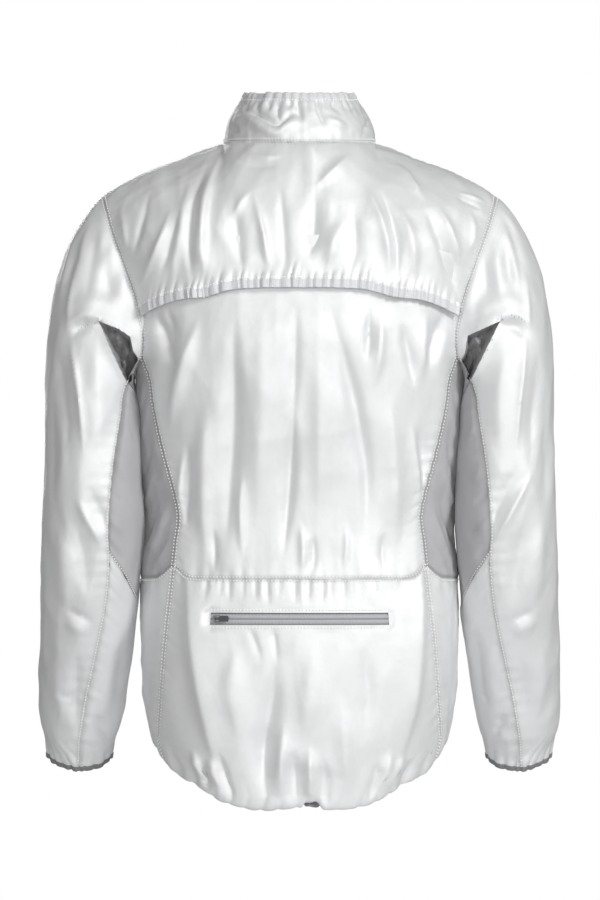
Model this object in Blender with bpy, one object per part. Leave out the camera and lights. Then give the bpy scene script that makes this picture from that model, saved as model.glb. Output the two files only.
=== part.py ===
"""A light reflective jacket, kept filled out as if worn, with open neck, hem, cuffs and armholes.

Metres, +Z up. The wearer faces -Y, so +X is the wearer's left side. The origin lies at the middle of
the shoulder line, where the wearer carries the garment. Every cut piece is a thin wall on one shared
skin, and neighbours stop 0.3 mm apart at their seams.
"""

import math

import bpy
import numpy as np
from mathutils import Matrix, Vector

MM = 0.001
CLOTH = 1.2 * MM
SEAM_GAP = 0.3 * MM
CORNER_GAP = 0.9 * MM  # for pieces that meet their neighbours at a sharp angle
BAND_GAP = 0.6 * MM  # between a cloth edge and its binding
SEAM_CALM = 25 * MM  # folds die out this far from a seam
MEETING = 0.1 * MM  # seam points this close are one point
GRID_SHIFT = 0.37  # keeps mirrored points off the borders between the cells that sort them
MITRE_LIMIT = 0.35  # sharp corners are pulled back no further than this allows
ROUNDNESS = 2.4  # exponent of the body's sections: 2 is an ellipse, more is boxier
SHOULDER_DROP = 100 * MM  # height over which back and chest roll onto the shoulder ridge
SHOULDER_ROLL = 1.8

NECK_HALF_WIDTH = 85 * MM
NECK_CENTRE_Y = -12.5 * MM
NECK_DEPTH = 82.5 * MM
NECK_BACK_Z = -2 * MM
NECK_FRONT_DROP = 63 * MM

# How the sleeve cap leaves the armhole seam: outward over the shoulder and under the arm, spread, downward.
CAP_OUTWARD = 0.74
UNDERARM_OUTWARD = 0.35
CAP_SPREAD = 0.35
CAP_DROP = 0.66
CAP_END_Z = -300 * MM  # where the sleeve cap has become a plain tube
SLEEVE_DEGREE = 1.05 * MM  # arc length of one degree round a sleeve
SLEEVE_MIDDLE = (236 * MM, -10 * MM)
INSERT_END_Z = -453 * MM
INSERT_TIP_Z = -527 * MM
CUFF_Z = -684 * MM

FLAP_COVER = 50 * MM  # how far the back panel runs up under the flap
FLAP_STAND = 5.0 * MM  # how far the flap's edge stands off the back panel
HIDDEN_SINK = 4.2 * MM  # and its hidden upper end
HIDDEN_INSET = 3 * MM  # clears the armhole seam where the back panel runs up under the flap
COLLAR_BACK_HEIGHT = 50 * MM
COLLAR_FRONT_HEIGHT = 62 * MM
COLLAR_LEAN = 17 * MM  # how far the top edge leans in, and how much more it does at the sides
COLLAR_SIDE_LEAN = 4 * MM
COLLAR_BOW = 3.5 * MM
COLLAR_SIDE_DROP = 4 * MM
ZIP_HALF_GAP = 6.5 * MM  # each front stops this far from the centre line

# The hem is turned in to its elastic: how far the cloth's edge and its lowest fold stand up and in.
HEM_TUCK_RISE = 8 * MM
HEM_TUCK_INSET = 9 * MM
HEM_FOLD_INSET = 2.5 * MM
HEM_SIDE_RISE = 6 * MM  # the fold is opened at the sides, where the elastic shows
HEM_ROLL_HEIGHT = 15 * MM
HEM_MIDDLE = (0.0, -3 * MM)
SIDE_HEM_DEGREES = 16

YOKE_BAND = (10.0 * MM, 2.4 * MM)  # binding height and thickness
COLLAR_BAND = (7.5 * MM, 2.4 * MM)
CUFF_BAND = (6.0 * MM, 2.4 * MM)
HEM_BAND = (8.0 * MM, 2.6 * MM)
CUFF_BAND_STEPS = 24
HEM_BAND_STEPS = 56

POCKET_HALF_WIDTH = 98.5 * MM
POCKET_TOP_Z = -526 * MM
POCKET_BOTTOM_Z = -539.5 * MM
TAPE = 0.8 * MM
TAPE_COVER = 4 * MM  # how far a zip tape runs on behind the cloth
TAPE_SINK = CLOTH / 2 + SEAM_GAP + TAPE / 2 + 0.1 * MM
NECK_TAPE_SINK = 1.2 * MM  # more room for the front tape where it turns up into the collar
COIL = 4 * MM
COIL_THICK = 1.4 * MM
COIL_SINK = TAPE_SINK + TAPE / 2 + SEAM_GAP + COIL_THICK / 2
SLIDER_SEAT = -TAPE_SINK + TAPE / 2 + SEAM_GAP
SLIDER_LENGTH = 10.5 * MM
SLIDER_INSET = 6.9 * MM  # from the end of the pocket's cut to the middle of its slider
FRONT_SLIDER_CLIMB = 0.86  # share of the collar's height at the front slider
SLIDER_WIDTH = 8 * MM
SLIDER_PLATE = 1.6 * MM
SLIDER_CORNER = 2.6 * MM
BAIL_HEIGHT = 3.7 * MM  # from the slider's seat to the axis of its pull
BAIL_SPAN = 3.4 * MM
BAIL_POST = 0.8 * MM
BAIL_BAR = 1.0 * MM
BAIL_DEPTH = 1.2 * MM
EYE_INNER = 1.1 * MM
EYE_OUTER = 1.8 * MM
EYE_PLAY = 0.4 * MM
TAB_LENGTH = 14 * MM
TAB_WIDTH = 6.4 * MM
TAB_THICK = 1.4 * MM
TAB_NECK = 3.2 * MM
TAB_BEVEL = 1 * MM
COLLAR_CLIMBS = (0.0, 0.25, 0.5, 0.75, 1.0)

GATHER_COLUMNS = 3  # columns of points to each gather
YOKE_GATHERS = 36
YOKE_GATHER_DEPTH = 1.3 * MM
GATHERED_CLIMB = 0.07  # share of the yoke's height with the fine gathers of its lower edge
COLLAR_GATHER_DEPTH = 1.4 * MM
CUFF_GATHER_DEPTH = 1.6 * MM
CUFF_GATHER_Z = -655 * MM  # where the cuff gathers fade out
COLLAR_GATHERS = 20
OUTER_CUFF_GATHERS = 9
UNDER_CUFF_GATHERS = 7


def columns(names, rows, plain=()):
    """A short table as named arrays, in metres; the columns named in plain are not lengths."""
    values = np.array(rows, float).T
    return {name: column * (1 if name in plain else MM) for name, column in zip(names.split(), values)}


BODY = columns("z half_width back front", [
    (-750, 148, 100, 100),
    (-700, 158, 106, 106),
    (-670, 166, 110, 111),
    (-625, 175, 113, 116),
    (-570, 178, 113, 117),
    (-530, 178.5, 109, 115),
    (-485, 178.5, 103, 113),
    (-430, 174, 99, 113),
    (-383, 177, 102, 116),
    (-356, 179, 105, 119),
    (-309, 181, 111, 123),
    (-262, 185, 115, 125),
    (-222, 189, 117, 124),
    (-187, 195, 117, 121),
    (-141, 208, 114, 115),
    (-96, 228, 108, 108),
    (-60, 242, 102, 104),
    (10, 262, 92, 98),
])

RIDGE = columns("x z", [
    (0, -0.5), (85, -0.5), (100, -4.5), (133, -18), (170, -31.5), (197, -45), (221.5, -60), (240, -72),
])

# The back half of the armhole seam as seen from behind; the front half mirrors it a little deeper.
ARMHOLE = columns("z back_x front_x", [
    (-241, 176, 176),
    (-220, 174.8, 171.5),
    (-187, 180, 173),
    (-138, 196, 187),
    (-92, 212.5, 207),
    (-60, 221.5, 221.5),
])
UNDERARM_Z = -262 * MM
ARM_SEAM_Z = ARMHOLE["z"][0]
TIP_Z = ARMHOLE["z"][-1]

SIDE_SEAM = columns("z x", [
    (-475, 141), (-450, 138.5), (-416, 135), (-397, 138.5), (-360, 148.5), (-323, 157.5), (-289, 164),
    (-266, 167), (-241, 176),
])
LOWER_SEAM = columns("z x", [(-690, 160), (-672, 158.5), (-562, 150.5), (-475, 141)])
SEAM_WAIST_Z = SIDE_SEAM["z"][0]
WAIST_Z = -488.5 * MM
WAIST_PUCKER_X = 141 * MM  # where the waist seam rises to meet the side seam
WAIST_PUCKER_REACH = 11 * MM

FLAP_HEM = columns("x z", [
    (0, -155), (44, -155.5), (77, -157.7), (104, -165), (136, -168.5), (157, -175), (172, -182.5),
    (180, -187),
])

# The hem's height by its angle from the back: the tail drops low behind.
HEM_LINE = columns("degrees z", [
    (0, -742), (15, -744), (30, -736), (44, -720), (65, -703), (76, -687), (90, -671),
    (110, -662), (140, -657), (180, -655),
], plain=["degrees"])

# The left sleeve from the cuff up; tilt is how far, in degrees, its sections lean forward.
SLEEVE = columns("z inner outer centre_y half_depth tilt", [
    (-684, 211, 285, -80, 40, 28),
    (-670, 208, 288, -75, 42, 28),
    (-653, 202, 294, -68, 46, 27),
    (-636, 198, 295, -60, 48, 26),
    (-602, 193, 294.5, -46, 50, 24),
    (-535, 183, 292, -14, 54, 18),
    (-485, 179.5, 291, 6, 56, 12),
    (-430, 174, 289, 17, 57, 5),
    (-370, 178, 286.5, 18, 59, 0),
    (-300, 183.5, 285, 14, 62, 0),
], plain=["tilt"])

# The depth at which the body is widest: a little forward of the sleeves, which rest close beside it.
SIDE_LINE = columns("z y", [(-750, 0), (-560, -8), (-480, -14), (-320, -14), (-262, -6), (-200, 0), (0, 0)])

# Where the sleeve's back seam runs across its width: -1 is the edge beside the body, +1 the outer edge.
SLEEVE_SEAM = columns("z across", [
    (-684, 0.03), (-613, -0.08), (-563, -0.20), (-467, -0.39), (-435, -0.32), (-369, -0.44), (-300, -0.70),
], plain=["across"])

# Large soft folds as seen from behind or in front: a ridge is raised, a trough has a negative height.
BACK_FOLDS = columns("x0 z0 x1 z1 width height", [
    (84, -10, 105, -90, 13, 4.0),
    (105, -90, 100, -165, 12, 4.5),
    (142, -72, 181, -185, 10, 5.0),
    (-20, -40, -6, -155, 16, -4.0),
    (-96, -45, -106, -160, 11, -4.5),
    (-140, -70, -168, -165, 12, -6.0),
    (-60, -60, -62, -158, 14, 3.0),
    (40, -70, 45, -158, 12, -3.0),
    (95, -200, 88, -455, 16, -3.5),
    (40, -190, 52, -470, 14, 3.5),
    (-10, -190, 0, -470, 14, -4.0),
    (-60, -200, -50, -460, 15, 3.5),
    (-105, -200, -92, -430, 14, -4.0),
    (125, -215, 118, -470, 10, 4.0),
    (-128, -215, -118, -470, 10, 4.0),
    (89, -688, 72, -740, 7, -5.0),
    (37, -660, 37, -730, 9, -4.0),
    (3, -695, 3, -742, 8, -6.0),
    (-82, -696, -77, -738, 8, -5.0),
    (-129, -686, -116, -722, 8, -5.0),
])
FRONT_FOLDS = columns("x0 z0 x1 z1 width height", [
    (95, -60, 70, -230, 14, -4.0),
    (-95, -60, -70, -230, 14, -4.0),
    (150, -190, 95, -300, 14, 4.5),
    (-150, -190, -95, -300, 14, 4.5),
    (60, -300, 65, -600, 16, -3.5),
    (-60, -300, -65, -600, 16, -3.5),
    (110, -380, 112, -620, 14, 4.0),
    (-110, -380, -112, -620, 14, 4.0),
])
# Degrees round the sleeve: 0 is the outer edge, 90 behind, 180 beside the body, 270 in front.
SLEEVE_FOLDS = columns("around0 z0 around1 z1 width height", [
    (62, -206, 100, -196, 13, 7.0),
    (100, -196, 140, -222, 12, 8.0),
    (118, -226, 152, -262, 17, -19.0),
    (120, -262, 150, -290, 10, 5.0),
    (60, -210, 80, -350, 12, -4.0),
    (20, -344, 80, -440, 13, -6.0),
    (30, -400, 110, -480, 12, 5.0),
    (235, -215, 290, -235, 12, 6.0),
    (240, -385, 320, -420, 13, -6.0),
    (250, -440, 310, -470, 12, 4.0),
    (80, -560, 140, -610, 12, -4.0),
], plain=["around0", "around1"])
for key in ("around0", "around1"):
    SLEEVE_FOLDS[key] *= SLEEVE_DEGREE
# The collar's big slanting crease, as distance round from the back and height above the neck seam.
COLLAR_FOLDS = columns("x0 z0 x1 z1 width height", [
    (76, 34, 48, 22, 4.5, 4.0),
    (48, 22, 26, 12, 4.5, 5.0),
    (26, 12, 6, 26, 4.5, 4.5),
    (6, 26, -8, 14, 4.5, 4.0),
    (66, 22, 30, 4, 5.0, -3.5),
    (-76, 20, -66, 5, 4.5, -4.5),
])


def spline(xs, ys):
    """A smooth curve through stations with rising xs, straight past neither end."""
    xs, ys = np.asarray(xs, float), np.asarray(ys, float)
    slopes = np.gradient(ys, xs, axis=0)

    def at(x):
        x = np.clip(np.asarray(x, float), xs[0], xs[-1])
        i = np.clip(np.searchsorted(xs, x, side="right") - 1, 0, len(xs) - 2)
        step = xs[i + 1] - xs[i]
        t = (x - xs[i]) / step
        start = (1 + 2 * t) * (1 - t) ** 2
        return (start * ys[i] + (1 - start) * ys[i + 1]
                + step * t * (1 - t) * ((1 - t) * slopes[i] - t * slopes[i + 1]))

    return at


def rising(table, key, value):
    order = np.argsort(table[key])
    return spline(table[key][order], table[value][order])


half_width = rising(BODY, "z", "half_width")
back_depth = rising(BODY, "z", "back")
front_depth = rising(BODY, "z", "front")
side_line = rising(SIDE_LINE, "z", "y")
ridge_z = rising(RIDGE, "x", "z")
armhole_back_x = rising(ARMHOLE, "z", "back_x")
armhole_front_x = rising(ARMHOLE, "z", "front_x")
side_seam_x = rising(SIDE_SEAM, "z", "x")
lower_seam_x = rising(LOWER_SEAM, "z", "x")
flap_hem_z = rising(FLAP_HEM, "x", "z")
hem_z = rising(HEM_LINE, "degrees", "z")
sleeve_inner = rising(SLEEVE, "z", "inner")
sleeve_outer = rising(SLEEVE, "z", "outer")
sleeve_y = rising(SLEEVE, "z", "centre_y")
sleeve_depth = rising(SLEEVE, "z", "half_depth")
sleeve_tilt = rising(SLEEVE, "z", "tilt")
sleeve_seam = rising(SLEEVE_SEAM, "z", "across")


def smoothstep(low, high, value):
    t = np.clip((value - low) / (high - low), 0, 1)
    return t * t * (3 - 2 * t)


def neck_ring(turn):
    """The neck seam at an angle from the back: 0 at the back, pi at the front."""
    forward = np.maximum(0, -np.cos(turn)) ** 1.2
    return np.stack([
        NECK_HALF_WIDTH * np.sin(turn),
        NECK_CENTRE_Y + NECK_DEPTH * np.cos(turn),
        NECK_BACK_Z + 1.5 * MM * np.sin(turn) ** 2 - NECK_FRONT_DROP * forward,
    ], axis=-1)


def ridge(x, front):
    """Height and depth of the upper edge above x: the neck seam, then the shoulder seam."""
    x = np.abs(x)
    turn = np.arcsin(np.clip(x / NECK_HALF_WIDTH, 0, 1))
    turn = np.where(front, math.pi - turn, turn)
    neck = neck_ring(turn)
    on_shoulder = x >= NECK_HALF_WIDTH
    shoulder_y = NECK_CENTRE_Y * (1 - smoothstep(NECK_HALF_WIDTH, 222 * MM, x))
    return np.where(on_shoulder, ridge_z(x), neck[..., 2]), np.where(on_shoulder, shoulder_y, neck[..., 1])


def skin(x, z, front):
    """The point of the body's skin seen at (x, z) from behind, or from the front."""
    x, z, front = np.broadcast_arrays(np.asarray(x, float), np.asarray(z, float), front)
    across = np.clip(np.abs(x) / half_width(z), 0, 1) ** ROUNDNESS
    side = side_line(z)
    middle = np.where(front, -front_depth(z), back_depth(z))
    depth = side + (middle - side) * (1 - across) ** (1 / ROUNDNESS)
    top_z, top_y = ridge(x, front)
    climb = np.clip((z - top_z) / SHOULDER_DROP + 1, 0, 1)
    y = top_y + (depth - top_y) * (1 - climb ** SHOULDER_ROLL) ** (1 / SHOULDER_ROLL)
    return np.stack([x, y, z], axis=-1)


def girth(turn, z):
    """The point of the skin at an angle round the body: 0 behind, pi/2 at the left side, pi in front."""
    turn, z = np.broadcast_arrays(np.asarray(turn, float), np.asarray(z, float))
    x = np.sign(np.sin(turn)) * half_width(z) * np.abs(np.sin(turn)) ** (2 / ROUNDNESS)
    return skin(x, z, np.cos(turn) < 0)


def turn_of(x, z):
    """The back angle at which the skin stands x to the side."""
    return np.arcsin(np.clip(x / half_width(z), 0, 1) ** (ROUNDNESS / 2))


def waist_z(x):
    """Height of the waist seam."""
    pucker = np.exp(-(((np.abs(x) - WAIST_PUCKER_X) / WAIST_PUCKER_REACH) ** 2))
    return WAIST_Z + (SEAM_WAIST_Z - WAIST_Z) * pucker


def folds(table, x, z):
    """Summed height of the soft folds at (x, z); each one fades at its ends."""
    total = np.zeros(np.broadcast(x, z).shape)
    for x0, z0, x1, z1, width, height in zip(*table.values()):
        length = math.hypot(x1 - x0, z1 - z0)
        along = ((x - x0) * (x1 - x0) + (z - z0) * (z1 - z0)) / length**2
        off = ((x - x0) * (z1 - z0) - (z - z0) * (x1 - x0)) / length
        ends = smoothstep(-0.12, 0.15, along) * (1 - smoothstep(0.85, 1.12, along))
        total = total + height * ends * np.exp(-((off / width) ** 2))
    return total


def gathers(share, count):
    """A row of gathers along a seam; share runs from 0 to 1 along it."""
    return np.cos(2 * math.pi * count * share)


# Thin walls ---------------------------------------------------------------------------------------


class Panel:
    """One cut piece as rows of points, from its lower edge to its upper edge."""

    def __init__(self, name, finish, centre=(0, 0)):
        self.name = name
        self.finish = finish
        self.centre = centre
        self.shares, self.points, self.push = [], [], []
        self.thickness = CLOTH
        self.gap = SEAM_GAP
        self.holes = []

    def row(self, shares, points, push=0.0):
        points = np.asarray(points, float)
        self.shares.append(np.asarray(shares, float))
        self.points.append(points)
        self.push.append(np.broadcast_to(push, (len(points),)))

    def mesh(self):
        """Vertices, and triangles that knit rows of equal or unequal counts together."""
        points = np.concatenate(self.points)
        starts = np.cumsum([0] + [len(row) for row in self.points])
        faces = []
        for j in range(len(self.points) - 1):
            low, high = self.shares[j], self.shares[j + 1]
            a, b = starts[j], starts[j + 1]
            if len(low) == len(high):
                for i in range(len(low) - 1):
                    if (j, i) not in self.holes:
                        faces += split_quad(points, a + i, a + i + 1, b + i + 1, b + i)
                continue
            i = k = 0
            while i < len(low) - 1 or k < len(high) - 1:
                step_low = k == len(high) - 1 or (i < len(low) - 1 and low[i + 1] <= high[k + 1])
                if step_low:
                    faces.append((a + i, a + i + 1, b + k))
                    i += 1
                else:
                    faces.append((a + i, b + k + 1, b + k))
                    k += 1
        return points, np.concatenate(self.push), faces

    def build(self):
        self.vertices, push, faces = self.mesh()
        normals = face_normals(self.vertices, faces)
        centres = np.array([self.vertices[list(face)].mean(axis=0) for face in faces])
        away = centres[:, :2] - np.array(self.centre)
        if np.sum(normals[:, :2] * away) < 0:
            faces = [face[::-1] for face in faces]
        self.faces = faces
        self.rim = rim_edges(faces)
        self.seam_points = self.vertices.copy()
        self.seam_normals = vertex_normals(self.vertices, faces)
        self.vertices = self.vertices + self.seam_normals * push[:, None]
        self.normals = vertex_normals(self.vertices, faces)

    def solid(self):
        """The wall's outer and inner faces, joined round every edge."""
        middle = self.vertices + pull_back(self.vertices, self.faces, self.rim) * self.gap / 2
        outer = middle + self.normals * self.thickness / 2
        inner = middle - self.normals * self.thickness / 2
        count = len(middle)
        faces = list(self.faces)
        faces += [tuple(i + count for i in reversed(face)) for face in self.faces]
        faces += [(b, a, a + count, b + count) for a, b in self.rim]
        return np.concatenate([outer, inner]), faces


def split_quad(points, a, b, c, d):
    """A quad as two triangles, cut along its shorter diagonal."""
    if np.linalg.norm(points[a] - points[c]) <= np.linalg.norm(points[b] - points[d]):
        return [(a, b, c), (a, c, d)]
    return [(a, b, d), (b, c, d)]


def face_normals(points, faces):
    """Area-weighted normals of triangles."""
    corners = points[np.array(faces)]
    return np.cross(corners[:, 1] - corners[:, 0], corners[:, 2] - corners[:, 0])


def vertex_normals(points, faces):
    total = np.zeros_like(points)
    for corner in np.array(faces).T:
        np.add.at(total, corner, face_normals(points, faces))
    return total / np.linalg.norm(total, axis=1, keepdims=True)


def rim_edges(faces):
    """The directed edges that only one face uses."""
    edges = {(face[i - 1], face[i]) for face in faces for i in range(len(face))}
    return [edge for edge in edges if edge[::-1] not in edges]


def pull_back(points, faces, rim):
    """For every rim point, the way into its own piece that clears both edges by one unit."""
    normals = vertex_normals(points, faces)
    inward = {}
    for a, b in rim:
        along = points[b] - points[a]
        side = np.cross(normals[a] + normals[b], along)
        side /= np.linalg.norm(side)
        inward.setdefault(a, []).append(side)
        inward.setdefault(b, []).append(side)
    moved = np.zeros_like(points)
    for index, sides in inward.items():
        total = sum(sides)
        sharpness = max(MITRE_LIMIT, 1 + float(np.dot(sides[0], sides[-1])))
        moved[index] = total / sharpness
    return moved


def share_normals(panels):
    """Neighbours that meet in a point take one normal there, so their edges are mitred alike."""
    found = {}
    for panel in panels:
        for index in {i for edge in panel.rim for i in edge}:
            key = tuple(np.floor(panel.seam_points[index] / MEETING + GRID_SHIFT).astype(int))
            found.setdefault(key, []).append((panel, index))
    for meeting in found.values():
        if len(meeting) > 1:
            total = sum(panel.seam_normals[index] for panel, index in meeting)
            total /= np.linalg.norm(total)
            for panel, index in meeting:
                panel.normals[index] = total


def material(name, colour, roughness=0.6, metallic=0.0):
    finish = bpy.data.materials.new(name)
    finish.use_nodes = True
    shader = finish.node_tree.nodes["Principled BSDF"]
    shader.inputs["Base Color"].default_value = (*colour, 1)
    shader.inputs["Roughness"].default_value = roughness
    shader.inputs["Metallic"].default_value = metallic
    return finish


FINISHES = {
    "silver": ((0.72, 0.73, 0.74), 0.45, 0.0),
    "stretch": ((0.30, 0.31, 0.33), 0.85, 0.0),
    "pale_elastic": ((0.60, 0.61, 0.63), 0.7, 0.0),
    "dark_elastic": ((0.13, 0.14, 0.15), 0.8, 0.0),
    "tape": ((0.45, 0.46, 0.48), 0.75, 0.0),
    "metal": ((0.35, 0.36, 0.38), 0.35, 1.0),
    "rubber": ((0.07, 0.07, 0.08), 0.6, 0.0),
}


def add_object(name, points, faces, finish):
    mesh = bpy.data.meshes.new(name)
    mesh.from_pydata([tuple(p) for p in points], [], faces)
    mesh.shade_smooth()
    mesh.set_sharp_from_angle(angle=math.radians(50))
    mesh.materials.append(material(name, *FINISHES[finish]))
    made = bpy.data.objects.new(name, mesh)
    bpy.context.scene.collection.objects.link(made)
    return made


def unit(vectors):
    return vectors / np.linalg.norm(vectors, axis=-1, keepdims=True)


def outward_faces(points, faces):
    """Turns every face over where the solid's volume comes out negative."""
    volume = 0.0
    for face in faces:
        p = points[list(face)]
        for k in range(1, len(face) - 1):
            volume += float(np.dot(p[0], np.cross(p[k], p[k + 1])))
    return faces if volume > 0 else [face[::-1] for face in faces]


def add_band(name, finish, edge, along, normal, size, closed, gap=BAND_GAP):
    """A flat binding: a bar that goes on from a cloth edge, in the direction along."""
    height, thickness = size
    edge = edge + along * gap
    corners = [edge + normal * thickness / 2, edge + along * height + normal * thickness / 2,
               edge + along * height - normal * thickness / 2, edge - normal * thickness / 2]
    count = len(edge)
    points = np.concatenate(corners)
    faces = []
    steps = count if closed else count - 1
    for i in range(steps):
        j = (i + 1) % count
        for side in range(4):
            a, b = side * count, (side + 1) % 4 * count
            faces.append((a + i, b + i, b + j, a + j))
    if not closed:
        faces.append(tuple(side * count for side in reversed(range(4))))
        faces.append(tuple(side * count + count - 1 for side in range(4)))
    add_object(name, points, outward_faces(points, faces), finish)


# Shared stations on the seams ---------------------------------------------------------------------

YOKE_LEVELS = ARMHOLE["z"][2] + (TIP_Z - ARMHOLE["z"][2]) * (1 - (1 - np.linspace(0, 1, 7)) ** 1.8)
HIDDEN_LEVELS = np.linspace(YOKE_LEVELS[0], YOKE_LEVELS[0] + FLAP_COVER, 3)
ARM_LEVELS = np.linspace(ARM_SEAM_Z, YOKE_LEVELS[0], 3)
SIDE_LEVELS = np.linspace(SEAM_WAIST_Z, ARM_SEAM_Z, 10)
LOWER_LEVELS = np.array([-668, -640, -590, -539.5, -526, -508, -475]) * MM
FRONT_ARM_LEVELS = ARM_SEAM_Z + (TIP_Z - ARM_SEAM_Z) * (1 - (1 - np.linspace(0, 1, 9)) ** 1.6)
UNDER_COLUMNS = 6
BACK_COLUMNS = 25
NECK_COLUMNS = 5
SHOULDER_COLUMNS = 5
TUBE_LEVELS = np.array([-300, -340, -380, -418, -453, -500, -550, -602, -642, -664, -684]) * MM
CAP_STEPS = np.linspace(0, 1, 7)


def top_x():
    """Stations from the centre to the shoulder tip: along the neck seam, then the shoulder seam."""
    return np.concatenate([neck_x(0), shoulder_x()[1:]])


def neck_x(start):
    """Stations along the neck seam, from start out to the shoulder seam."""
    return start + (NECK_HALF_WIDTH - start) * np.sin(np.linspace(0, math.pi / 2, NECK_COLUMNS + 1))


def shoulder_x():
    return np.linspace(NECK_HALF_WIDTH, armhole_back_x(TIP_Z), SHOULDER_COLUMNS + 1)


def underarm(share):
    """The armhole under the arm, from the back seam (0) to the front seam (1)."""
    z = ARM_SEAM_Z + (UNDERARM_Z - ARM_SEAM_Z) * np.sin(math.pi * share) ** 1.2
    start = turn_of(armhole_back_x(ARM_SEAM_Z), ARM_SEAM_Z)
    return girth(start + (math.pi - 2 * start) * share, z)


def armhole_loop():
    """The left armhole seam: tip, down the back, under the arm, up the front to the tip."""
    back = np.concatenate([YOKE_LEVELS[::-1], ARM_LEVELS[::-1][1:]])
    front = FRONT_ARM_LEVELS
    under = underarm(np.linspace(0, 1, UNDER_COLUMNS + 1))
    return (skin(armhole_back_x(back), back, False), under, skin(armhole_front_x(front), front, True))


# Body panels --------------------------------------------------------------------------------------


def flap_sink(x, z, share):
    """How far the back panel lies below the skin: under the flap, and just below its hem."""
    above = z - flap_hem_z(np.abs(x))
    covered = HIDDEN_SINK + (FLAP_STAND - HIDDEN_SINK) * (1 - smoothstep(0, FLAP_COVER, above))
    shown = FLAP_STAND * (1 - smoothstep(12 * MM, 75 * MM, -above))
    middle = np.where(above > 0, covered, shown)
    at_armhole = FLAP_STAND * (1 - smoothstep(10 * MM, 34 * MM, -above))
    nearness = smoothstep(0.86, 1.0, share)
    return middle * (1 - nearness) + at_armhole * nearness


def back_yoke():
    panel = Panel("back_yoke", "silver")
    reach = top_x()
    top_share = np.concatenate([-reach[::-1], reach[1:]]) / reach[-1]
    uniform = np.linspace(-1, 1, len(top_share))
    fine = np.linspace(-1, 1, GATHER_COLUMNS * YOKE_GATHERS + 1)
    low, high = YOKE_LEVELS[0], YOKE_LEVELS[-1]
    climbs = np.insert((YOKE_LEVELS - low) / (high - low), 1, GATHERED_CLIMB)
    for climb in climbs:
        share = fine if climb <= GATHERED_CLIMB else uniform
        wide = np.interp(share, uniform, uniform * (1 - climb) + top_share * climb)
        x = wide * armhole_back_x(low + climb * (high - low))
        top = ridge(np.interp(share, uniform, top_share) * reach[-1], False)[0]
        bottom = flap_hem_z(np.abs(share) * armhole_back_x(low))
        z = bottom + (top - bottom) * climb
        ends = 1 - smoothstep(0.9, 1.0, np.abs(share))
        lift = folds(BACK_FOLDS, x, z) * (1 - smoothstep(0.8, 1, climb))
        wave = gathers((share + 1) / 2, YOKE_GATHERS) * YOKE_GATHER_DEPTH * max(0.0, 1 - climb * 9)
        panel.row(share, skin(x, z, False), (lift + wave) * ends)
    return panel


def back_panel():
    panel = Panel("back_panel", "silver")
    share = np.linspace(-1, 1, BACK_COLUMNS)
    levels = np.concatenate([SIDE_LEVELS, ARM_LEVELS[1:], HIDDEN_LEVELS[1:]])
    for level in levels:
        if level <= ARM_SEAM_Z:
            edge = side_seam_x(level)
        else:
            edge = armhole_back_x(level) - HIDDEN_INSET * smoothstep(-205 * MM, YOKE_LEVELS[0], level)
        x = share * edge
        bottom = waist_z(share * side_seam_x(SEAM_WAIST_Z))
        top = flap_hem_z(np.abs(share) * armhole_back_x(YOKE_LEVELS[0])) + FLAP_COVER
        z = bottom + (top - bottom) * (level - levels[0]) / (levels[-1] - levels[0])
        ends = 1 - smoothstep(0.88, 1.0, np.abs(share))
        seam = smoothstep(0, SEAM_CALM, z - bottom)
        height = folds(BACK_FOLDS, x, z)
        hidden = smoothstep(-FLAP_COVER - 36 * MM, -FLAP_COVER - 12 * MM, z - top)
        height = height + (np.minimum(height, 0) - height) * hidden
        lift = height * ends * seam
        panel.row(share, skin(x, z, False), lift - flap_sink(x, z, np.abs(share)))
    return panel


def side_panel():
    """Grey stretch panel from the armhole to the waist, under the left arm."""
    panel = Panel("side_panel_left", "stretch")
    share = np.linspace(0, 1, UNDER_COLUMNS + 1)
    arm = underarm(share)
    for level in SIDE_LEVELS:
        start = turn_of(side_seam_x(level), level)
        turn = start + (math.pi - 2 * start) * share
        climb = (level - SIDE_LEVELS[0]) / (SIDE_LEVELS[-1] - SIDE_LEVELS[0])
        waist_turn = turn_of(side_seam_x(SEAM_WAIST_Z), SEAM_WAIST_Z)
        waist_x = girth(waist_turn + (math.pi - 2 * waist_turn) * share, SEAM_WAIST_Z)[..., 0]
        bottom = waist_z(waist_x)
        z = bottom + (arm[..., 2] - bottom) * climb
        points = girth(turn, z)
        points[0] = skin(side_seam_x(level), level, False)
        points[-1] = skin(side_seam_x(level), level, True)
        panel.row(share, arm if level == SIDE_LEVELS[-1] else points)
    return panel


def hem_rows(turn):
    """Three rows at the hem: the edge sewn to the elastic, the fold at the bottom, and the rise."""
    degrees = np.degrees(np.arccos(np.clip(np.cos(turn), -1, 1)))
    tuck = 1 - 0.9 * np.exp(-(((degrees - 90) / SIDE_HEM_DEGREES) ** 2))
    edge = HEM_TUCK_RISE * tuck, HEM_TUCK_INSET * tuck
    fold = HEM_SIDE_RISE * (1 - tuck), HEM_FOLD_INSET * tuck
    upper = np.full_like(tuck, HEM_ROLL_HEIGHT), np.zeros_like(tuck)
    rows = []
    for rise, inset in (edge, fold, upper):
        points = girth(turn, hem_z(degrees) + rise)
        outward = unit(points[..., :2] - np.array(HEM_MIDDLE))
        points[..., :2] -= outward * inset[..., None]
        rows.append(points)
    return rows


def hem_turn(x):
    """The angle at the hem of a column that stands x to the side, at the back or mirrored at the front."""
    return np.sign(x) * turn_of(np.abs(x), LOWER_LEVELS[0])


def lower_rows(start, top, seam_start):
    """Heights of the rows between the hem and the waist, which meet the seam at the shared levels."""
    climbs = (LOWER_LEVELS[1:] - seam_start) / (SEAM_WAIST_Z - seam_start)
    return [start + (top - start) * climb for climb in climbs]


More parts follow.
